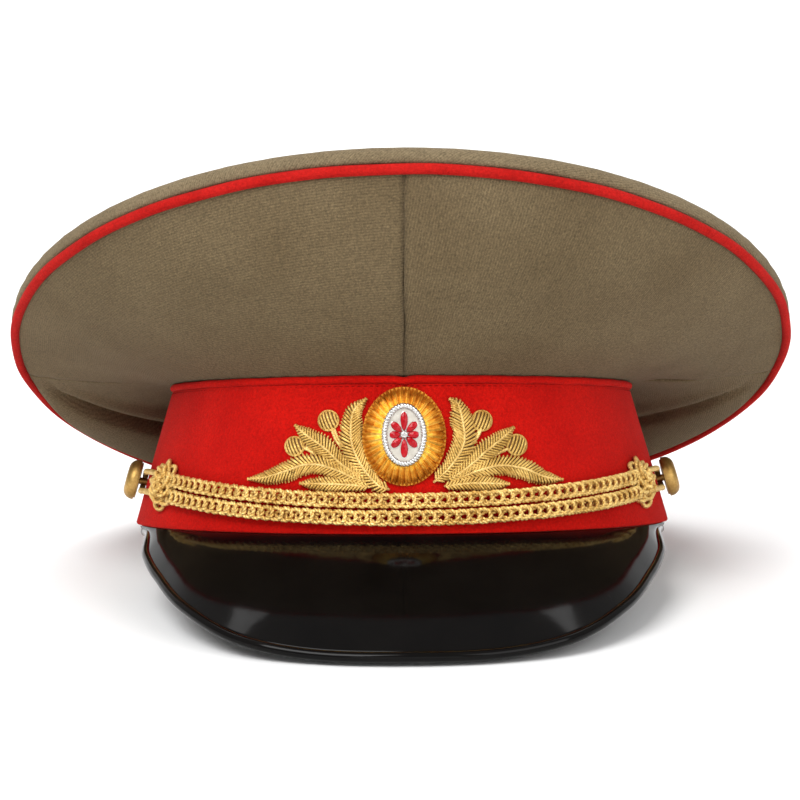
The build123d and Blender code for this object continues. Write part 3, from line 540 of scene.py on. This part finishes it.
# ------------------------------------------------------------------- the band
def ring_mesh(name, profile, mat, n=480, wob=0.0, uvs=True):
    """A closed loop round the band. profile: (inset, z) points, closed."""
    t = np.linspace(0, 2 * math.pi, n, endpoint=False)
    rows = [around(t, band_r(t, z, i) + wob * np.sin(t * 5 + z * 0.1) * (1 if i < 1 else 0), z) for i, z in profile]
    V = np.stack(rows, 1)
    f = grid_faces(n, len(profile), True, True)
    uv = np.stack([np.repeat(t * 95, len(profile)), np.tile([z for _, z in profile], n)], 1) if uvs else None
    return new_mesh(name, V.reshape(-1, 3), f[:, ::-1], mat, uv=uv)


zs = np.linspace(0.4, 45.3, 40)
prof = [(0.25, 0.05), (0.0, 0.4)] + [(0.0 + (0.22 * math.exp(-((z - 45.0) / 0.4) ** 2)), float(z)) for z in zs[1:]] + [(0.2, 45.65), (1.6, 45.65), (1.78, 45.3), (1.78, 25.0), (1.78, 0.4), (1.6, 0.05)]
BAND = ring_mesh("cloth_band_cover", prof, FELT, 640, 0.12)
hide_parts("band_cover")


def stitches(name, pts, mat, r=0.22, fill=0.62, step=2.4):
    """A row of separate stitches along a closed or open line."""
    path, s = resample(pts, 0.3)
    out = []
    n = int(s[-1] / step)
    for i in range(n):
        a, b = i * step, i * step + step * fill
        q = np.linspace(a, b, 5)
        p = np.stack([np.interp(q, s, path[:, c]) for c in range(3)], 1)
        out.append(tube(p, r * np.array([0.5, 1, 1.1, 1, 0.5]), 5))
    V, F = join(out)
    return new_mesh(name, V, F, mat)


tt = np.linspace(0, 2 * math.pi, 700)
stitches("stitch_band_top", band_pt(tt, 44.9 + 0 * tt, -0.12), THREAD, 0.13, 0.6, 1.9)
# leather sweatband with its turned upper edge and a sewn foot
prof = [(3.3, 0.1), (3.2, 1.1), (4.4, 1.3), (5.1, 2.4)] + [(5.2, float(z)) for z in np.linspace(4, 37, 10)] + [(5.3, 37.8), (5.8, 38.1), (6.35, 37.8), (6.5, 37.0)] + [(6.4 + 0.12 * math.sin(z), float(z)) for z in np.linspace(34, 3, 12)] + [(6.3, 1.2), (6.0, 0.1)]
SW = ring_mesh("leather_sweatband", prof, SWEAT, 360, 0)
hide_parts("sweatband")
stitches("stitch_sweatband", around(tt, band_r(tt, 3.2, 6.5), 3.2 + 0 * tt), THREADB, 0.2, 0.6, 3.0)
stitches("stitch_sweatband_top", around(tt, band_r(tt, 35.6, 6.5), 35.6 + 0 * tt), THREADB, 0.18, 0.6, 2.6)


# -------------------------------------------------------------- satin lining
def lining():
    n = 240
    t = np.linspace(0, 2 * math.pi, n, endpoint=False)
    rows = []
    A, B = 74.8, 91.2

    def roof(x, y, drop):
        # height of the lining's roof over a point, by a few steps of iteration
        z = np.full_like(x, 70.0)
        for _ in range(30):
            v = (y - RC[1]) * CL - (z - RC[2]) * SL
            w = 8.0 + (22 + 0.165 * v) * (1 - ((x / RA) ** 2 + (v / RB) ** 2) ** 2) - drop
            z = RC[2] - v * SL + w * CL
            z = 0.5 * z + 0.5 * (RC[2] + (w - (y - RC[1]) * SL) / CL)
        return z
    edge_z = roof(A * np.sin(t), -B * np.cos(t), 6.0)
    fold = np.sin(t * 27 + 1.5 * np.sin(t * 4))
    for k in np.linspace(0, 1, 16):
        z = 40 + (edge_z - 5 - 40) * k
        inn = 0.6 + 0.45 * fold * math.sin(math.pi * k)
        rows.append(around(t, 0 * t + 1, 0) * 0 + np.stack([(A - inn) * np.sin(t), -(B - inn) * np.cos(t), z], 1))
    for a in np.linspace(0.15, 1, 7):
        ang = a * math.pi / 2
        inn = 0.6 + 5 * (1 - math.cos(ang))
        x, y = (A - inn) * np.sin(t), -(B - inn) * np.cos(t)
        zz = (edge_z - 5) * (1 - math.sin(ang)) + roof(x, y, 6.0) * math.sin(ang)
        rows.append(np.stack([x, y, zz], 1))
    for k in np.linspace(0.9, 0.02, 24):
        x, y = (A - 5.6) * k * np.sin(t), -(B - 5.6) * k * np.cos(t)
        rows.append(np.stack([x, y, roof(x, y, 6.0) + 0.25 * fold * k ** 6], 1))
    V = np.stack(rows, 0)
    m = len(rows)
    f = grid_faces(m, n, False, True)[:, ::-1].tolist()
    V = V.reshape(-1, 3)
    V = np.concatenate([V, V[-n:].mean(0, keepdims=True)])
    f += [[m * n, (m - 1) * n + (j + 1) % n, (m - 1) * n + j] for j in range(n)]
    ob = new_mesh("cloth_crown_lining", V, f, SATIN)
    thicken(ob, 0.5, 0.0)
    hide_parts("crown_lining")


lining()

# ------------------------------------------------------------------ the visor
EDGE = np.array([(0, 144.0, -32.0), (10.8, 143.6, -31.4), (20.1, 141.4, -28.0), (29.9, 132.6, -21.0), (40.5, 118.8, -14.0), (54.7, 105.0, -6.9), (68.3, 98.6, -2.4), (74.0, 98.0, -2.1)])


def edge_table(azd):
    rows = np.concatenate([[[-EDGE[1, 0], EDGE[1, 1], EDGE[1, 2]]], EDGE])
    x = np.abs(azd)
    i = np.clip(np.searchsorted(rows[:, 0], x) - 1, 1, len(rows) - 3)
    i = np.where(x <= 0, 1, i)
    x0, x1 = rows[i, 0], rows[i + 1, 0]
    k = ((x - x0) / (x1 - x0))[:, None]
    y0, y1 = rows[i, 1:], rows[i + 1, 1:]
    m0 = (rows[i + 1, 1:] - rows[i - 1, 1:]) / (rows[i + 1, 0] - rows[i - 1, 0])[:, None]
    j = np.minimum(i + 2, len(rows) - 1)
    m1 = (rows[j, 1:] - rows[i, 1:]) / (rows[j, 0] - rows[i, 0])[:, None]
    w = (x1 - x0)[:, None]
    return (2 * k ** 3 - 3 * k ** 2 + 1) * y0 + (k ** 3 - 2 * k ** 2 + k) * w * m0 + (3 * k ** 2 - 2 * k ** 3) * y1 + (k ** 3 - k ** 2) * w * m1


def visor():
    n, m = 220, 40
    azd = np.linspace(-69, 69, n)
    az = np.radians(azd)
    e = edge_table(azd)
    r0 = band_r(az, 0)
    sm = lambda x, lo, hi: np.clip((x - lo) / (hi - lo), 0, 1) ** 2 * (3 - 2 * np.clip((x - lo) / (hi - lo), 0, 1))
    back = e - np.stack([r0 + 0.1, -0.12 + 0 * az], 1)
    e = e - back / np.linalg.norm(back, axis=1, keepdims=True) * (0.5 + 1.3 * sm(np.abs(azd), 12, 35))[:, None]
    t2 = sm(np.abs(azd), 50, 69)[:, None]
    e = e * (1 - t2) + np.stack([r0 - 1.2, -2.4 + 0 * az], 1) * t2
    top0 = np.stack([r0 - 3.0, -0.1 + 0 * az], 1)
    top1 = np.stack([r0 + 0.1, -0.12 + 0 * az], 1)
    d = e - top1
    L = np.linalg.norm(d, axis=1, keepdims=True)
    u = d / L
    nrm = np.stack([-u[:, 1], u[:, 0]], 1)
    end = e - 0.9 * u
    rows = [top0]
    for k in np.linspace(0, 1, m):
        p = top1 + (end - top1) * k
        p = p + nrm * (0.035 * L * math.sin(math.pi * k) ** 1.0)
        rows.append(p)
    up = rows[-1]
    lows = [up - nrm * 2.0]
    for k in np.linspace(1, 0, 14)[1:]:
        p = top1 + (end - top1) * k
        lows.append(p + nrm * (0.035 * L * math.sin(math.pi * k)) - nrm * 2.0)
    lows.append(np.stack([r0 - 3.0, -2.1 + 0 * az], 1))
    R = np.stack(rows + lows, 1)
    V = around(az[:, None], R[..., 0], R[..., 1])
    q = R.shape[1]
    f = grid_faces(n, q, False, True)[:, ::-1].tolist()
    f += [list(range(q)), list(range((n - 1) * q, n * q))[::-1]]
    ob = new_mesh("lacquer_visor", V.reshape(-1, 3), f, PATENT)
    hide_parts("visor_shell")
    # edge bead, rolled over the rim of the blade
    c = e - nrm * 0.6
    path = around(az, c[:, 0], c[:, 1])
    v, f, tri = tube(path, 1.62, 14)
    V, F = join([(v, f, tri)])
    b = new_mesh("lacquer_visor_bead", V, F, PATENT)
    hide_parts("visor_edge_bead")


visor()

# ------------------------------------------------------------ the embroidery
LEAVES = {
    "left": [
        ([(-11.2, 41.0), (-15.2, 36.8), (-15.9, 30.0), (-15.0, 25.1), (-12.0, 19.3), (-8.0, 14.8), (-4.6, 13.4)], 7.0),
        ([(-33.0, 33.0), (-29.5, 30.0), (-23.6, 25.7), (-19.0, 21.2), (-12.5, 16.6)], 6.0),
        ([(-47.8, 16.4), (-42.0, 17.0), (-34.8, 19.2), (-30.1, 20.8), (-25.4, 20.8), (-20.5, 19.3), (-15.9, 17.2), (-11.4, 15.3)], 6.2),
        ([(-31.4, 15.2), (-23.6, 15.0), (-17.5, 14.8), (-10.4, 14.2)], 4.6)],
    "right": [
        ([(13.7, 40.8), (16.3, 38.9), (17.5, 34.1), (18.1, 28.7), (16.9, 24.8), (13.6, 19.9), (8.8, 15.5)], 7.3),
        ([(33.4, 32.0), (29.4, 28.4), (24.4, 24.5), (19.1, 19.9), (13.2, 16.2)], 6.0),
        ([(48.7, 15.6), (42.6, 16.6), (36.0, 19.2), (29.2, 20.2), (22.5, 18.9), (15.8, 16.4)], 6.2),
        ([(31.6, 14.6), (25.7, 14.8), (19.1, 14.9), (11.8, 14.2)], 4.6)]}
BERRY = {"left": [((-22.9, 34.4), 3.0), ((-33.4, 26.6), 2.85)], "right": [((23.7, 34.1), 3.0), ((34.5, 26.6), 3.1)]}
STEM = {"left": [((-21.4, 31.4), (-20.2, 28.6), (-18.6, 26.4)), ((-30.2, 26.2), (-28.6, 25.6), (-27.0, 24.6))],
        "right": [((23.0, 31.2), (22.2, 29.4), (20.8, 27.4)), ((31.2, 25.2), (29.2, 24.4), (27.0, 23.2))]}


def curve2(pts, n=200):
    """A smooth open line through 2-D points."""
    p = np.asarray(pts, float)
    q = np.concatenate([2 * p[:1] - p[1:2], p, 2 * p[-1:] - p[-2:-1]])
    out = []
    per = n // (len(p) - 1) + 1
    for i in range(len(p) - 1):
        a, b, c, d = q[i:i + 4]
        for t in np.linspace(0, 1, per, endpoint=False):
            out.append(0.5 * ((2 * b) + (-a + c) * t + (2 * a - 5 * b + 4 * c - d) * t * t + (-a + 3 * b - 3 * c + d) * t ** 3))
    out.append(p[-1])
    return np.array(out)


def leaf_half(q, width):
    """Half width of a leaf, q from its tip (0) to its foot (1)."""
    front = min(q / 0.5, 1.0)
    foot = max(0.0, (q - 0.5) / 0.5)
    return max(0.3, 0.54 * width * (1 - (1 - front) ** 1.9) ** 1.0 * (1 - 0.5 * foot ** 1.5))


def sprig(side):
    threads, ribs, pads = [], [], []
    for li, (rib, width) in enumerate(LEAVES[side]):
        c = curve2(rib)
        s = np.r_[0, np.cumsum(np.linalg.norm(np.diff(c, axis=0), axis=1))]
        total = s[-1]
        step = 1.0
        base_lift = 0.25 + 0.12 * li
        for k in np.arange(0.35, total - 0.2, step):
            q = k / total
            half = leaf_half(q, width)
            x = np.array([np.interp(k, s, c[:, i]) for i in (0, 1)])
            x2 = np.array([np.interp(min(k + 0.6, total), s, c[:, i]) for i in (0, 1)])
            x1 = np.array([np.interp(max(k - 0.6, 0), s, c[:, i]) for i in (0, 1)])
            t = (x2 - x1) / (np.linalg.norm(x2 - x1) + 1e-9)
            nn = np.array([-t[1], t[0]])
            for sg in (-1, 1):
                # laid threads run from the midrib out and back toward the stem
                lean = 1.35 * half
                g = np.linspace(0, 1, 7)
                p = x + sg * nn * (half * g)[:, None] * (1 + 0.04 * rng.normal()) - t * (lean * (g ** 1.1) * 0.6)[:, None]
                hump = base_lift + 0.35 + 0.55 * np.sin(math.pi * np.clip(g * 0.80 + 0.20, 0, 1)) ** 0.6
                hump = np.maximum(hump - 0.45 * (g > 0.98), 0.12)
                p3 = band_xz(p[:, 0], p[:, 1], hump)
                threads.append(tube(p3, 0.37 * np.array([0.9, 1, 1, 1, 1, 0.95, 0.6]), 6))
        # padding under the threads, just inside the leaf's outline
        kq = np.linspace(0.5, total - 0.4, 40)
        wq = 0.84 * np.array([leaf_half(x_, width) for x_ in kq / total])
        cq = np.stack([np.interp(kq, s, c[:, i]) for i in (0, 1)], 1)
        tq = np.gradient(cq, axis=0)
        tq /= np.linalg.norm(tq, axis=1, keepdims=True)
        nq = np.stack([-tq[:, 1], tq[:, 0]], 1)
        rows = []
        for fr in (-1, -0.97, -0.5, 0, 0.5, 0.97, 1):
            pp = cq + nq * (wq * fr)[:, None] - tq * (wq * abs(fr) * 0.8)[:, None]
            rows.append(band_xz(pp[:, 0], pp[:, 1], (base_lift + 0.45 - 0.2 * abs(fr)) * (abs(fr) < 0.99) + 0.02))
        pads.append((np.stack(rows, 0).reshape(-1, 3), grid_faces(7, 40), np.zeros((0, 3), int)))
        p3 = band_xz(c[::4, 0], c[::4, 1], base_lift + 0.95 * np.clip(np.sin(math.pi * np.linspace(0.04, 0.97, len(c[::4]))), 0, 1) ** 0.35)
        pr, ps = resample(p3, 0.22)
        ribs += plies(pr, ps, 0.20, 0.27, 1.1)
    for st in STEM[side]:
        c = curve2(st, 30)
        pr, ps = resample(band_xz(c[:, 0], c[:, 1], 0.55), 0.2)
        for o in (-0.42, 0.42):
            ribs += plies(pr + np.array([o * 0.8, 0, o * 0.5]), ps, 0.22, 0.30, 1.2)
    V, F = join(threads)
    a = new_mesh("bullion_leaves_" + side, V, F, GOLD)
    V, F = join(ribs)
    new_mesh("bullion_ribs_" + side, V, F, GOLDL)
    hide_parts("embroidery_leaves_" + side)
    V, F = join(pads)
    new_mesh("embroidery_pads_" + side, V, F, PAD)
    out, pv = [], []
    for (cx, cz), r in BERRY[side]:
        turn = 0.35 if side == "left" else -0.35
        rows = [band_xz(cx + r * 0.93 * f_ * np.cos(np.linspace(0, 2 * math.pi, 40)), cz + r * 0.93 * f_ * np.sin(np.linspace(0, 2 * math.pi, 40)), 0.1 + 1.05 * math.sqrt(max(0, 1 - f_ * f_))) for f_ in (1.0, 0.9, 0.7, 0.4, 0.02)]
        pv.append((np.stack(rows, 0).reshape(-1, 3), grid_faces(5, 40), np.zeros((0, 3), int)))
        for o in np.arange(-r + 0.38, r, 0.98):
            h = math.sqrt(max(r * r - o * o, 0.1))
            g = np.linspace(-1, 1, 13)
            lx, lz = o * math.cos(turn) - g * h * math.sin(turn), o * math.sin(turn) + g * h * math.cos(turn)
            dome = 0.15 + 1.25 * np.sqrt(np.clip(1 - (o * o + (g * h) ** 2) / (r * r * 1.04), 0, 1))
            out.append(tube(band_xz(cx + lx, cz + lz, dome), 0.37, 6))
        ring = np.linspace(0, 2 * math.pi, 70)
        pr, ps = resample(band_xz(cx + r * np.cos(ring), cz + r * np.sin(ring), 0.38), 0.2)
        out += plies(pr, ps, 0.18, 0.25, 1.0)
    V, F = join(out)
    b = new_mesh("bullion_berries_" + side, V, F, GOLD)
    V, F = join(pv)
    new_mesh("berry_pads_" + side, V, F, PAD)
    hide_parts("embroidery_berries_" + side)


sprig("left"); sprig("right")

# --------------------------------------------------------------- the cockade
CZ = 29.5
C0 = band_pt(0.0, CZ, 0.0)
CN = band_pt(0.0, CZ, 1.0) - C0
CX = np.array([1.0, 0, 0])
CY = np.cross(CN, CX)


def cock(x, y, h):
    x, y, h = np.broadcast_arrays(x, y, h)
    return C0 + x[..., None] * CX + y[..., None] * CY + h[..., None] * CN


def sunburst():
    N = 68
    per = 6
    n = N * per
    t = np.linspace(0, 2 * math.pi, n, endpoint=False)
    ph = (np.arange(n) % per) / per
    ridge = 1 - 2 * np.abs(ph - 0.5)            # 0 in the valley, 1 on the ray
    alt = 0.5 + 0.5 * np.cos(np.floor(np.arange(n) / per) * math.pi)
    rows = []
    for k in np.linspace(0, 1, 26):
        rr = 0.44 + 0.56 * k
        a = 13.1 * rr * (1 - 0.075 * k ** 3 * (1 - ridge) - 0.02 * k * alt)
        b = 15.55 * rr * (1 - 0.075 * k ** 3 * (1 - ridge) - 0.02 * k * alt)
        h = 0.45 + 2.35 * (1 - k ** 2.2) + 0.6 * (ridge - 0.35) * (0.35 + 0.65 * k) - 0.22 * alt * (1 - ridge * 0.5) + 0.45
        if k > 0.985:
            h = h - 0.45
        rows.append(cock(a * np.sin(t), b * np.cos(t), h))
    rows.append(cock(12.7 * np.sin(t), 15.1 * np.cos(t), 0.5 + 0 * t))
    rows.append(cock(3.0 * np.sin(t), 4.0 * np.cos(t), 0.5 + 0 * t))
    rows.append(cock(3.0 * np.sin(t), 4.0 * np.cos(t), 2.9 + 0 * t))
    V = np.stack(rows, 0)
    f = grid_faces(len(rows), n, True, True)
    ob = new_mesh("stamped_sunburst", V.reshape(-1, 3), f, GILT, smooth=False)
    ob.data.materials.append(GILT_PAINTED_HIGHLIGHT)
    ob.data.materials.append(GILT_PAINTED_SHADE)
    nr = len(rows)
    # Painted light on the sunburst: the bright material paints a highlight on the inner rows and the deep material
    # paints shade on the outer rows, to a random depth on each ray; toward the bottom the highlight reaches further out
    # and the shade begins further out.
    mi = np.zeros(nr * n, int)
    g2 = np.random.default_rng(3)
    highlight_rows_end, shade_rows_start = g2.integers(3, 9, N), g2.integers(12, 20, N)
    ray = np.arange(n) // per
    painted_light_bottom_bias = 0.5 - 0.5 * np.cos(t)
    for r_ in range(nr):
        row = np.where(r_ < highlight_rows_end[ray] + 5 * painted_light_bottom_bias, 1, np.where(r_ > shade_rows_start[ray] + 5 * painted_light_bottom_bias - 1, 2, 0))
        mi[r_ * n:(r_ + 1) * n] = row
    ob.data.polygons.foreach_set("material_index", mi[:len(ob.data.polygons)])
    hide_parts("cockade_sunburst")


sunburst()
t = np.linspace(0, 2 * math.pi, 520, endpoint=False)
oval = cock(5.95 * np.sin(t), 8.85 * np.cos(t), 3.55 + 0 * t)
seg = np.r_[0, np.cumsum(np.linalg.norm(np.diff(oval, axis=0), axis=1))]
perim = seg[-1] * 520 / 519
V, F = join(plies(oval, seg * (26 / perim) * 1.0, 0.42, 0.56, 1.0, 2, up=np.tile(CN, (520, 1)), sides=8, closed=True))
OV = new_mesh("twisted_oval_rim", V, F, SILVER)
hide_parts("cockade_oval_rim")



def rosette():
    """Eight long enamel petals with silver edges round a plain boss."""
    for name, grow, h0, mat, node, slot in (("rosette_edge", 1.0, 3.55, SILVER, "cockade_rosette", "silver"), ("rosette_enamel", 0.84, 3.9, REDEN, "cockade_petals", "red_enamel")):
        Vs, off, Fs = [], 0, []
        for i in range(8):
            a = i * math.pi / 4
            d = np.array([math.sin(a), math.cos(a)])
            nn = np.array([d[1], -d[0]])
            reach = 1 / math.hypot(d[0] / 4.75, d[1] / 7.5)
            q = np.linspace(0, 2 * math.pi, 40, endpoint=False)
            al = (0.5 * reach + 0.4) + (0.5 * reach - 0.4) * grow * np.cos(q)
            ac = 1.28 * grow * np.sin(q) * (1 + 0.22 * np.cos(q))
            rows = []
            for sc, hh in ((1.0, h0 - 0.5), (1.0, h0), (0.86, h0 + 0.22), (0.5, h0 + 0.34), (0.05, h0 + 0.36)):
                mx = al.mean()
                x = d[0] * (mx + (al - mx) * sc) + nn[0] * ac * sc
                y = d[1] * (mx + (al - mx) * sc) + nn[1] * ac * sc
                rows.append(cock(x, y, hh + 0 * x))
            v = np.stack(rows, 0).reshape(-1, 3)
            Vs.append(v)
            Fs += (grid_faces(5, 40, False, True) + off).tolist() + [list(range(off + 160, off + 200))]
            off += len(v)
        o = new_mesh(name, np.concatenate(Vs), Fs, mat)
        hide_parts(node)


rosette()
# --------------------------------------------------------------- chin cord
SPAN = math.radians(53.0)


def cord_z(az):
    y = -band_r(az, 10.0, -3) * np.cos(az)
    return 7.1 + 0.125 * (y + 107.0)


def chain(name, shift, node, way):
    """Overlapping loops of two-ply gimp, each lying on the next."""
    az = np.linspace(-SPAN, SPAN, 2600)
    base = band_pt(az, cord_z(az) + shift, 2.15)
    sl = np.r_[0, np.cumsum(np.linalg.norm(np.diff(base, axis=0), axis=1))]
    nrm = band_pt(az, cord_z(az) + shift, 3.15) - base
    pitch = 3.4
    out = []
    ph = np.linspace(0, 2 * math.pi, 44, endpoint=False)
    for k in range(int((sl[-1] - 6) / pitch) + 1):
        mid = 3.0 + k * pitch
        jit = rng.normal(0, 0.05, 3)
        al = way * (3.15 * np.cos(ph)) + jit[0]
        ac = (1.72 + jit[1]) * np.sin(ph) * (1 + 0.36 * np.cos(ph))
        up = 0.78 * np.cos(ph) - 0.18 * np.cos(2 * ph)
        q = np.clip(mid + al, 0, sl[-1])
        P = np.stack([np.interp(q, sl, base[:, c]) for c in range(3)], 1)
        Nn = np.stack([np.interp(q, sl, nrm[:, c]) for c in range(3)], 1)
        T = np.stack([np.interp(q + 0.3, sl, base[:, c]) - np.interp(q - 0.3, sl, base[:, c]) for c in range(3)], 1)
        T /= np.linalg.norm(T, axis=1, keepdims=True) + 1e-9
        A = np.cross(Nn, T)
        P = P + A * ac[:, None] + Nn * up[:, None]
        per = np.linalg.norm(np.diff(np.r_[P, P[:1]], axis=0), axis=1)
        sg = np.r_[0, np.cumsum(per)[:-1]] / per.sum() * 6
        out += plies(P, sg, 0.33, 0.43, 1.0, 2, up=Nn, sides=7, closed=True, phase=k)
    V, F = join(out)
    ob = new_mesh(name, V, F, CORDM)
    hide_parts(node)


chain("gimp_cord_upper", 2.6, "cord_upper", 1)
chain("gimp_cord_lower", -2.6, "cord_lower", 1)


def knot(side, sg):
    azk = sg * math.radians(56.0)
    zk = 13.8
    R = float(band_r(np.array(azk), zk))
    out = []
    for wa, wb, bights, leads, lo_, hi_, top, n_ in ((8.7, 7.9, 8, 3, 0.30, 1.0, 2.3, 1100), (6.6, 6.0, 7, 3, 0.22, 1.0, 3.4, 900), (3.7, 3.4, 5, 2, 0.15, 1.0, 4.4, 400)):
        q = np.linspace(0, 2 * math.pi * leads, n_, endpoint=False)
        rr_ = 0.5 * (lo_ + hi_) + 0.5 * (hi_ - lo_) * np.cos(bights * q / leads)
        a = wa * rr_ * np.cos(q)
        b = wb * rr_ * np.sin(q)
        h = top + 0.62 * np.sin(2 * bights * q / leads) - 0.02 * (a * a + b * b)
        h = np.maximum(h, 0.8)
        p = band_pt(azk + sg * a / R, zk + b, h)
        s = np.r_[0, np.cumsum(np.linalg.norm(np.diff(p, axis=0), axis=1))]
        per = s[-1] * n_ / (n_ - 1)
        turns = round(per / 1.7)
        n = band_pt(azk + sg * a / R, zk + b, h + 1) - p
        out += plies(p, s * turns / per, 0.34, 0.44, 1.0, 2, up=n, sides=6, closed=True)
    V, F = join(out)
    ob = new_mesh("gimp_knot_" + side, V, F, CORDM)
    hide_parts("cord_knot_" + side)
    # the eye of cord from the knot round the button's shank
    a0, a1 = math.radians(59.8), math.radians(82.6)
    rr = 3.3
    R2 = 93.0
    ln = np.linspace(0, 1, 40)
    azs = np.concatenate([a0 + (a1 - a0) * ln, a1 + (rr / R2) * np.sin(np.linspace(0, math.pi, 30)), a1 + (a0 - a1) * ln])
    zz = np.concatenate([14 + rr + 0 * ln, 14 + rr * np.cos(np.linspace(0, math.pi, 30)), 14 - rr + 0 * ln])
    zz = zz + 0.5 * np.sin((azs - a0) / (a1 - a0) * math.pi)
    pr, ps = resample(band_pt(sg * azs, zz, 1.3), 0.25)
    V, F = join(plies(pr, ps, 0.48, 0.62, 2.0, 2, up=band_pt(np.arctan2(pr[:, 0], -pr[:, 1]), pr[:, 2], 1) - band_pt(np.arctan2(pr[:, 0], -pr[:, 1]), pr[:, 2], 0)))
    lo = new_mesh("gimp_eye_" + side, V, F, CORDM)
    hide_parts("cord_end_loop_" + side)


knot("left", -1); knot("right", 1)

# ------------------------------------------------ finishes of the CAD's metal
FIN = {"band_stiffener": CARD, "crown_hoop": STEEL, "hoop_ferrule": BRASS, "front_stay": STEEL, "lining_shield": VINYL, "visor_lining": UNDER,
       "cockade_field": WHITE, "cockade_rosette": SILVER, "cockade_petals": REDEN, "cockade_boss": SILVER, "cockade_prongs": BRASS}
for s in ("left", "right"):
    FIN["side_button_dome_" + s] = BRASS
    FIN["side_button_shank_" + s] = BRASS
    FIN["side_button_fastener_" + s] = BRASS
for nname, mm in FIN.items():
    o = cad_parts[nname]
    if not o.material_slots:
        o.data.materials.append(mm)
    for sl in o.material_slots:
        sl.material = mm

# ------------------------------------------------------ stage, light, camera
st = Mat("studio_white", Roughness=0.7, Specular_IOR_Level=0.2)
st.color(st.ramp(st.noise(st.coords("Object", 1.0), 6.0), (0.3, (0.90, 0.90, 0.90, 1)), (0.7, (0.92, 0.92, 0.92, 1))))
me = bpy.data.meshes.new("studio_floor")
prof = [(-3.0, 0.0), (1.4, 0.0)] + [(1.4 + 0.9 * math.sin(a), 0.9 - 0.9 * math.cos(a)) for a in np.linspace(0.1, math.pi / 2, 14)] + [(2.3, 3.5)]
vv = [(x, y, z - 0.0004) for x in (-4, 4) for y, z in prof]
ff = [(i, i + 1, i + 1 + len(prof), i + len(prof)) for i in range(len(prof) - 1)]
me.from_pydata(vv, [], ff)
me.polygons.foreach_set("use_smooth", [True] * len(me.polygons))
me.materials.append(st.m)
floor = bpy.data.objects.new("studio_floor", me)
bpy.context.scene.collection.objects.link(floor)


def area_light(name, loc, target, size, power, color=(1, 1, 1), size_y=None):
    l = bpy.data.lights.new(name, "AREA")
    l.energy, l.color, l.size = power, color, size
    if size_y:
        l.shape, l.size_y = "RECTANGLE", size_y
    o = bpy.data.objects.new(name, l)
    o.location = loc
    o.rotation_euler = (Vector(target) - Vector(loc)).to_track_quat("-Z", "Y").to_euler()
    bpy.context.scene.collection.objects.link(o)
    return o


area_light("key_soft", (-0.55, -1.0, 1.25), (0, -0.02, 0.07), 0.9, 23)
area_light("fill_soft", (0.9, -1.05, 0.75), (0, -0.02, 0.07), 1.0, 8)
area_light("low_front", (0.0, -1.35, 0.10), (0, 0, 0.08), 0.7, 1.2)
area_light("back_wash", (0, 1.5, 2.2), (0, 1.6, 0.3), 2.2, 45)
w = bpy.context.scene.world or bpy.data.worlds.new("studio")
bpy.context.scene.world = w
w.use_nodes = True
w.node_tree.nodes["Background"].inputs["Color"].default_value = (1, 1, 1, 1)
w.node_tree.nodes["Background"].inputs["Strength"].default_value = 0.54
bpy.context.scene.view_settings.view_transform = "Standard"
bpy.context.scene.view_settings.look = "None"

cam = bpy.data.cameras.new("photo_camera")
cam.sensor_width, cam.sensor_fit, cam.lens = 36, "HORIZONTAL", 1813 / 800 * 36
cam.clip_start, cam.clip_end = 0.01, 50
co = bpy.data.objects.new("photo_camera", cam)
pitch = math.atan(40 / 1813)
ROLL = math.radians(-0.35)
rot = Matrix.Rotation(TH, 4, "X") @ Matrix.Rotation(math.radians(-0.45), 4, "Z") @ Matrix.Rotation(math.pi / 2 + pitch, 4, "X") @ Matrix.Rotation(ROLL, 4, "Z")
co.matrix_world = Matrix.Translation(Vector(rest((-5.5, -650.0, 28.4)))) @ rot
bpy.context.scene.collection.objects.link(co)
bpy.context.scene.camera = co

bpy.context.view_layer.update()
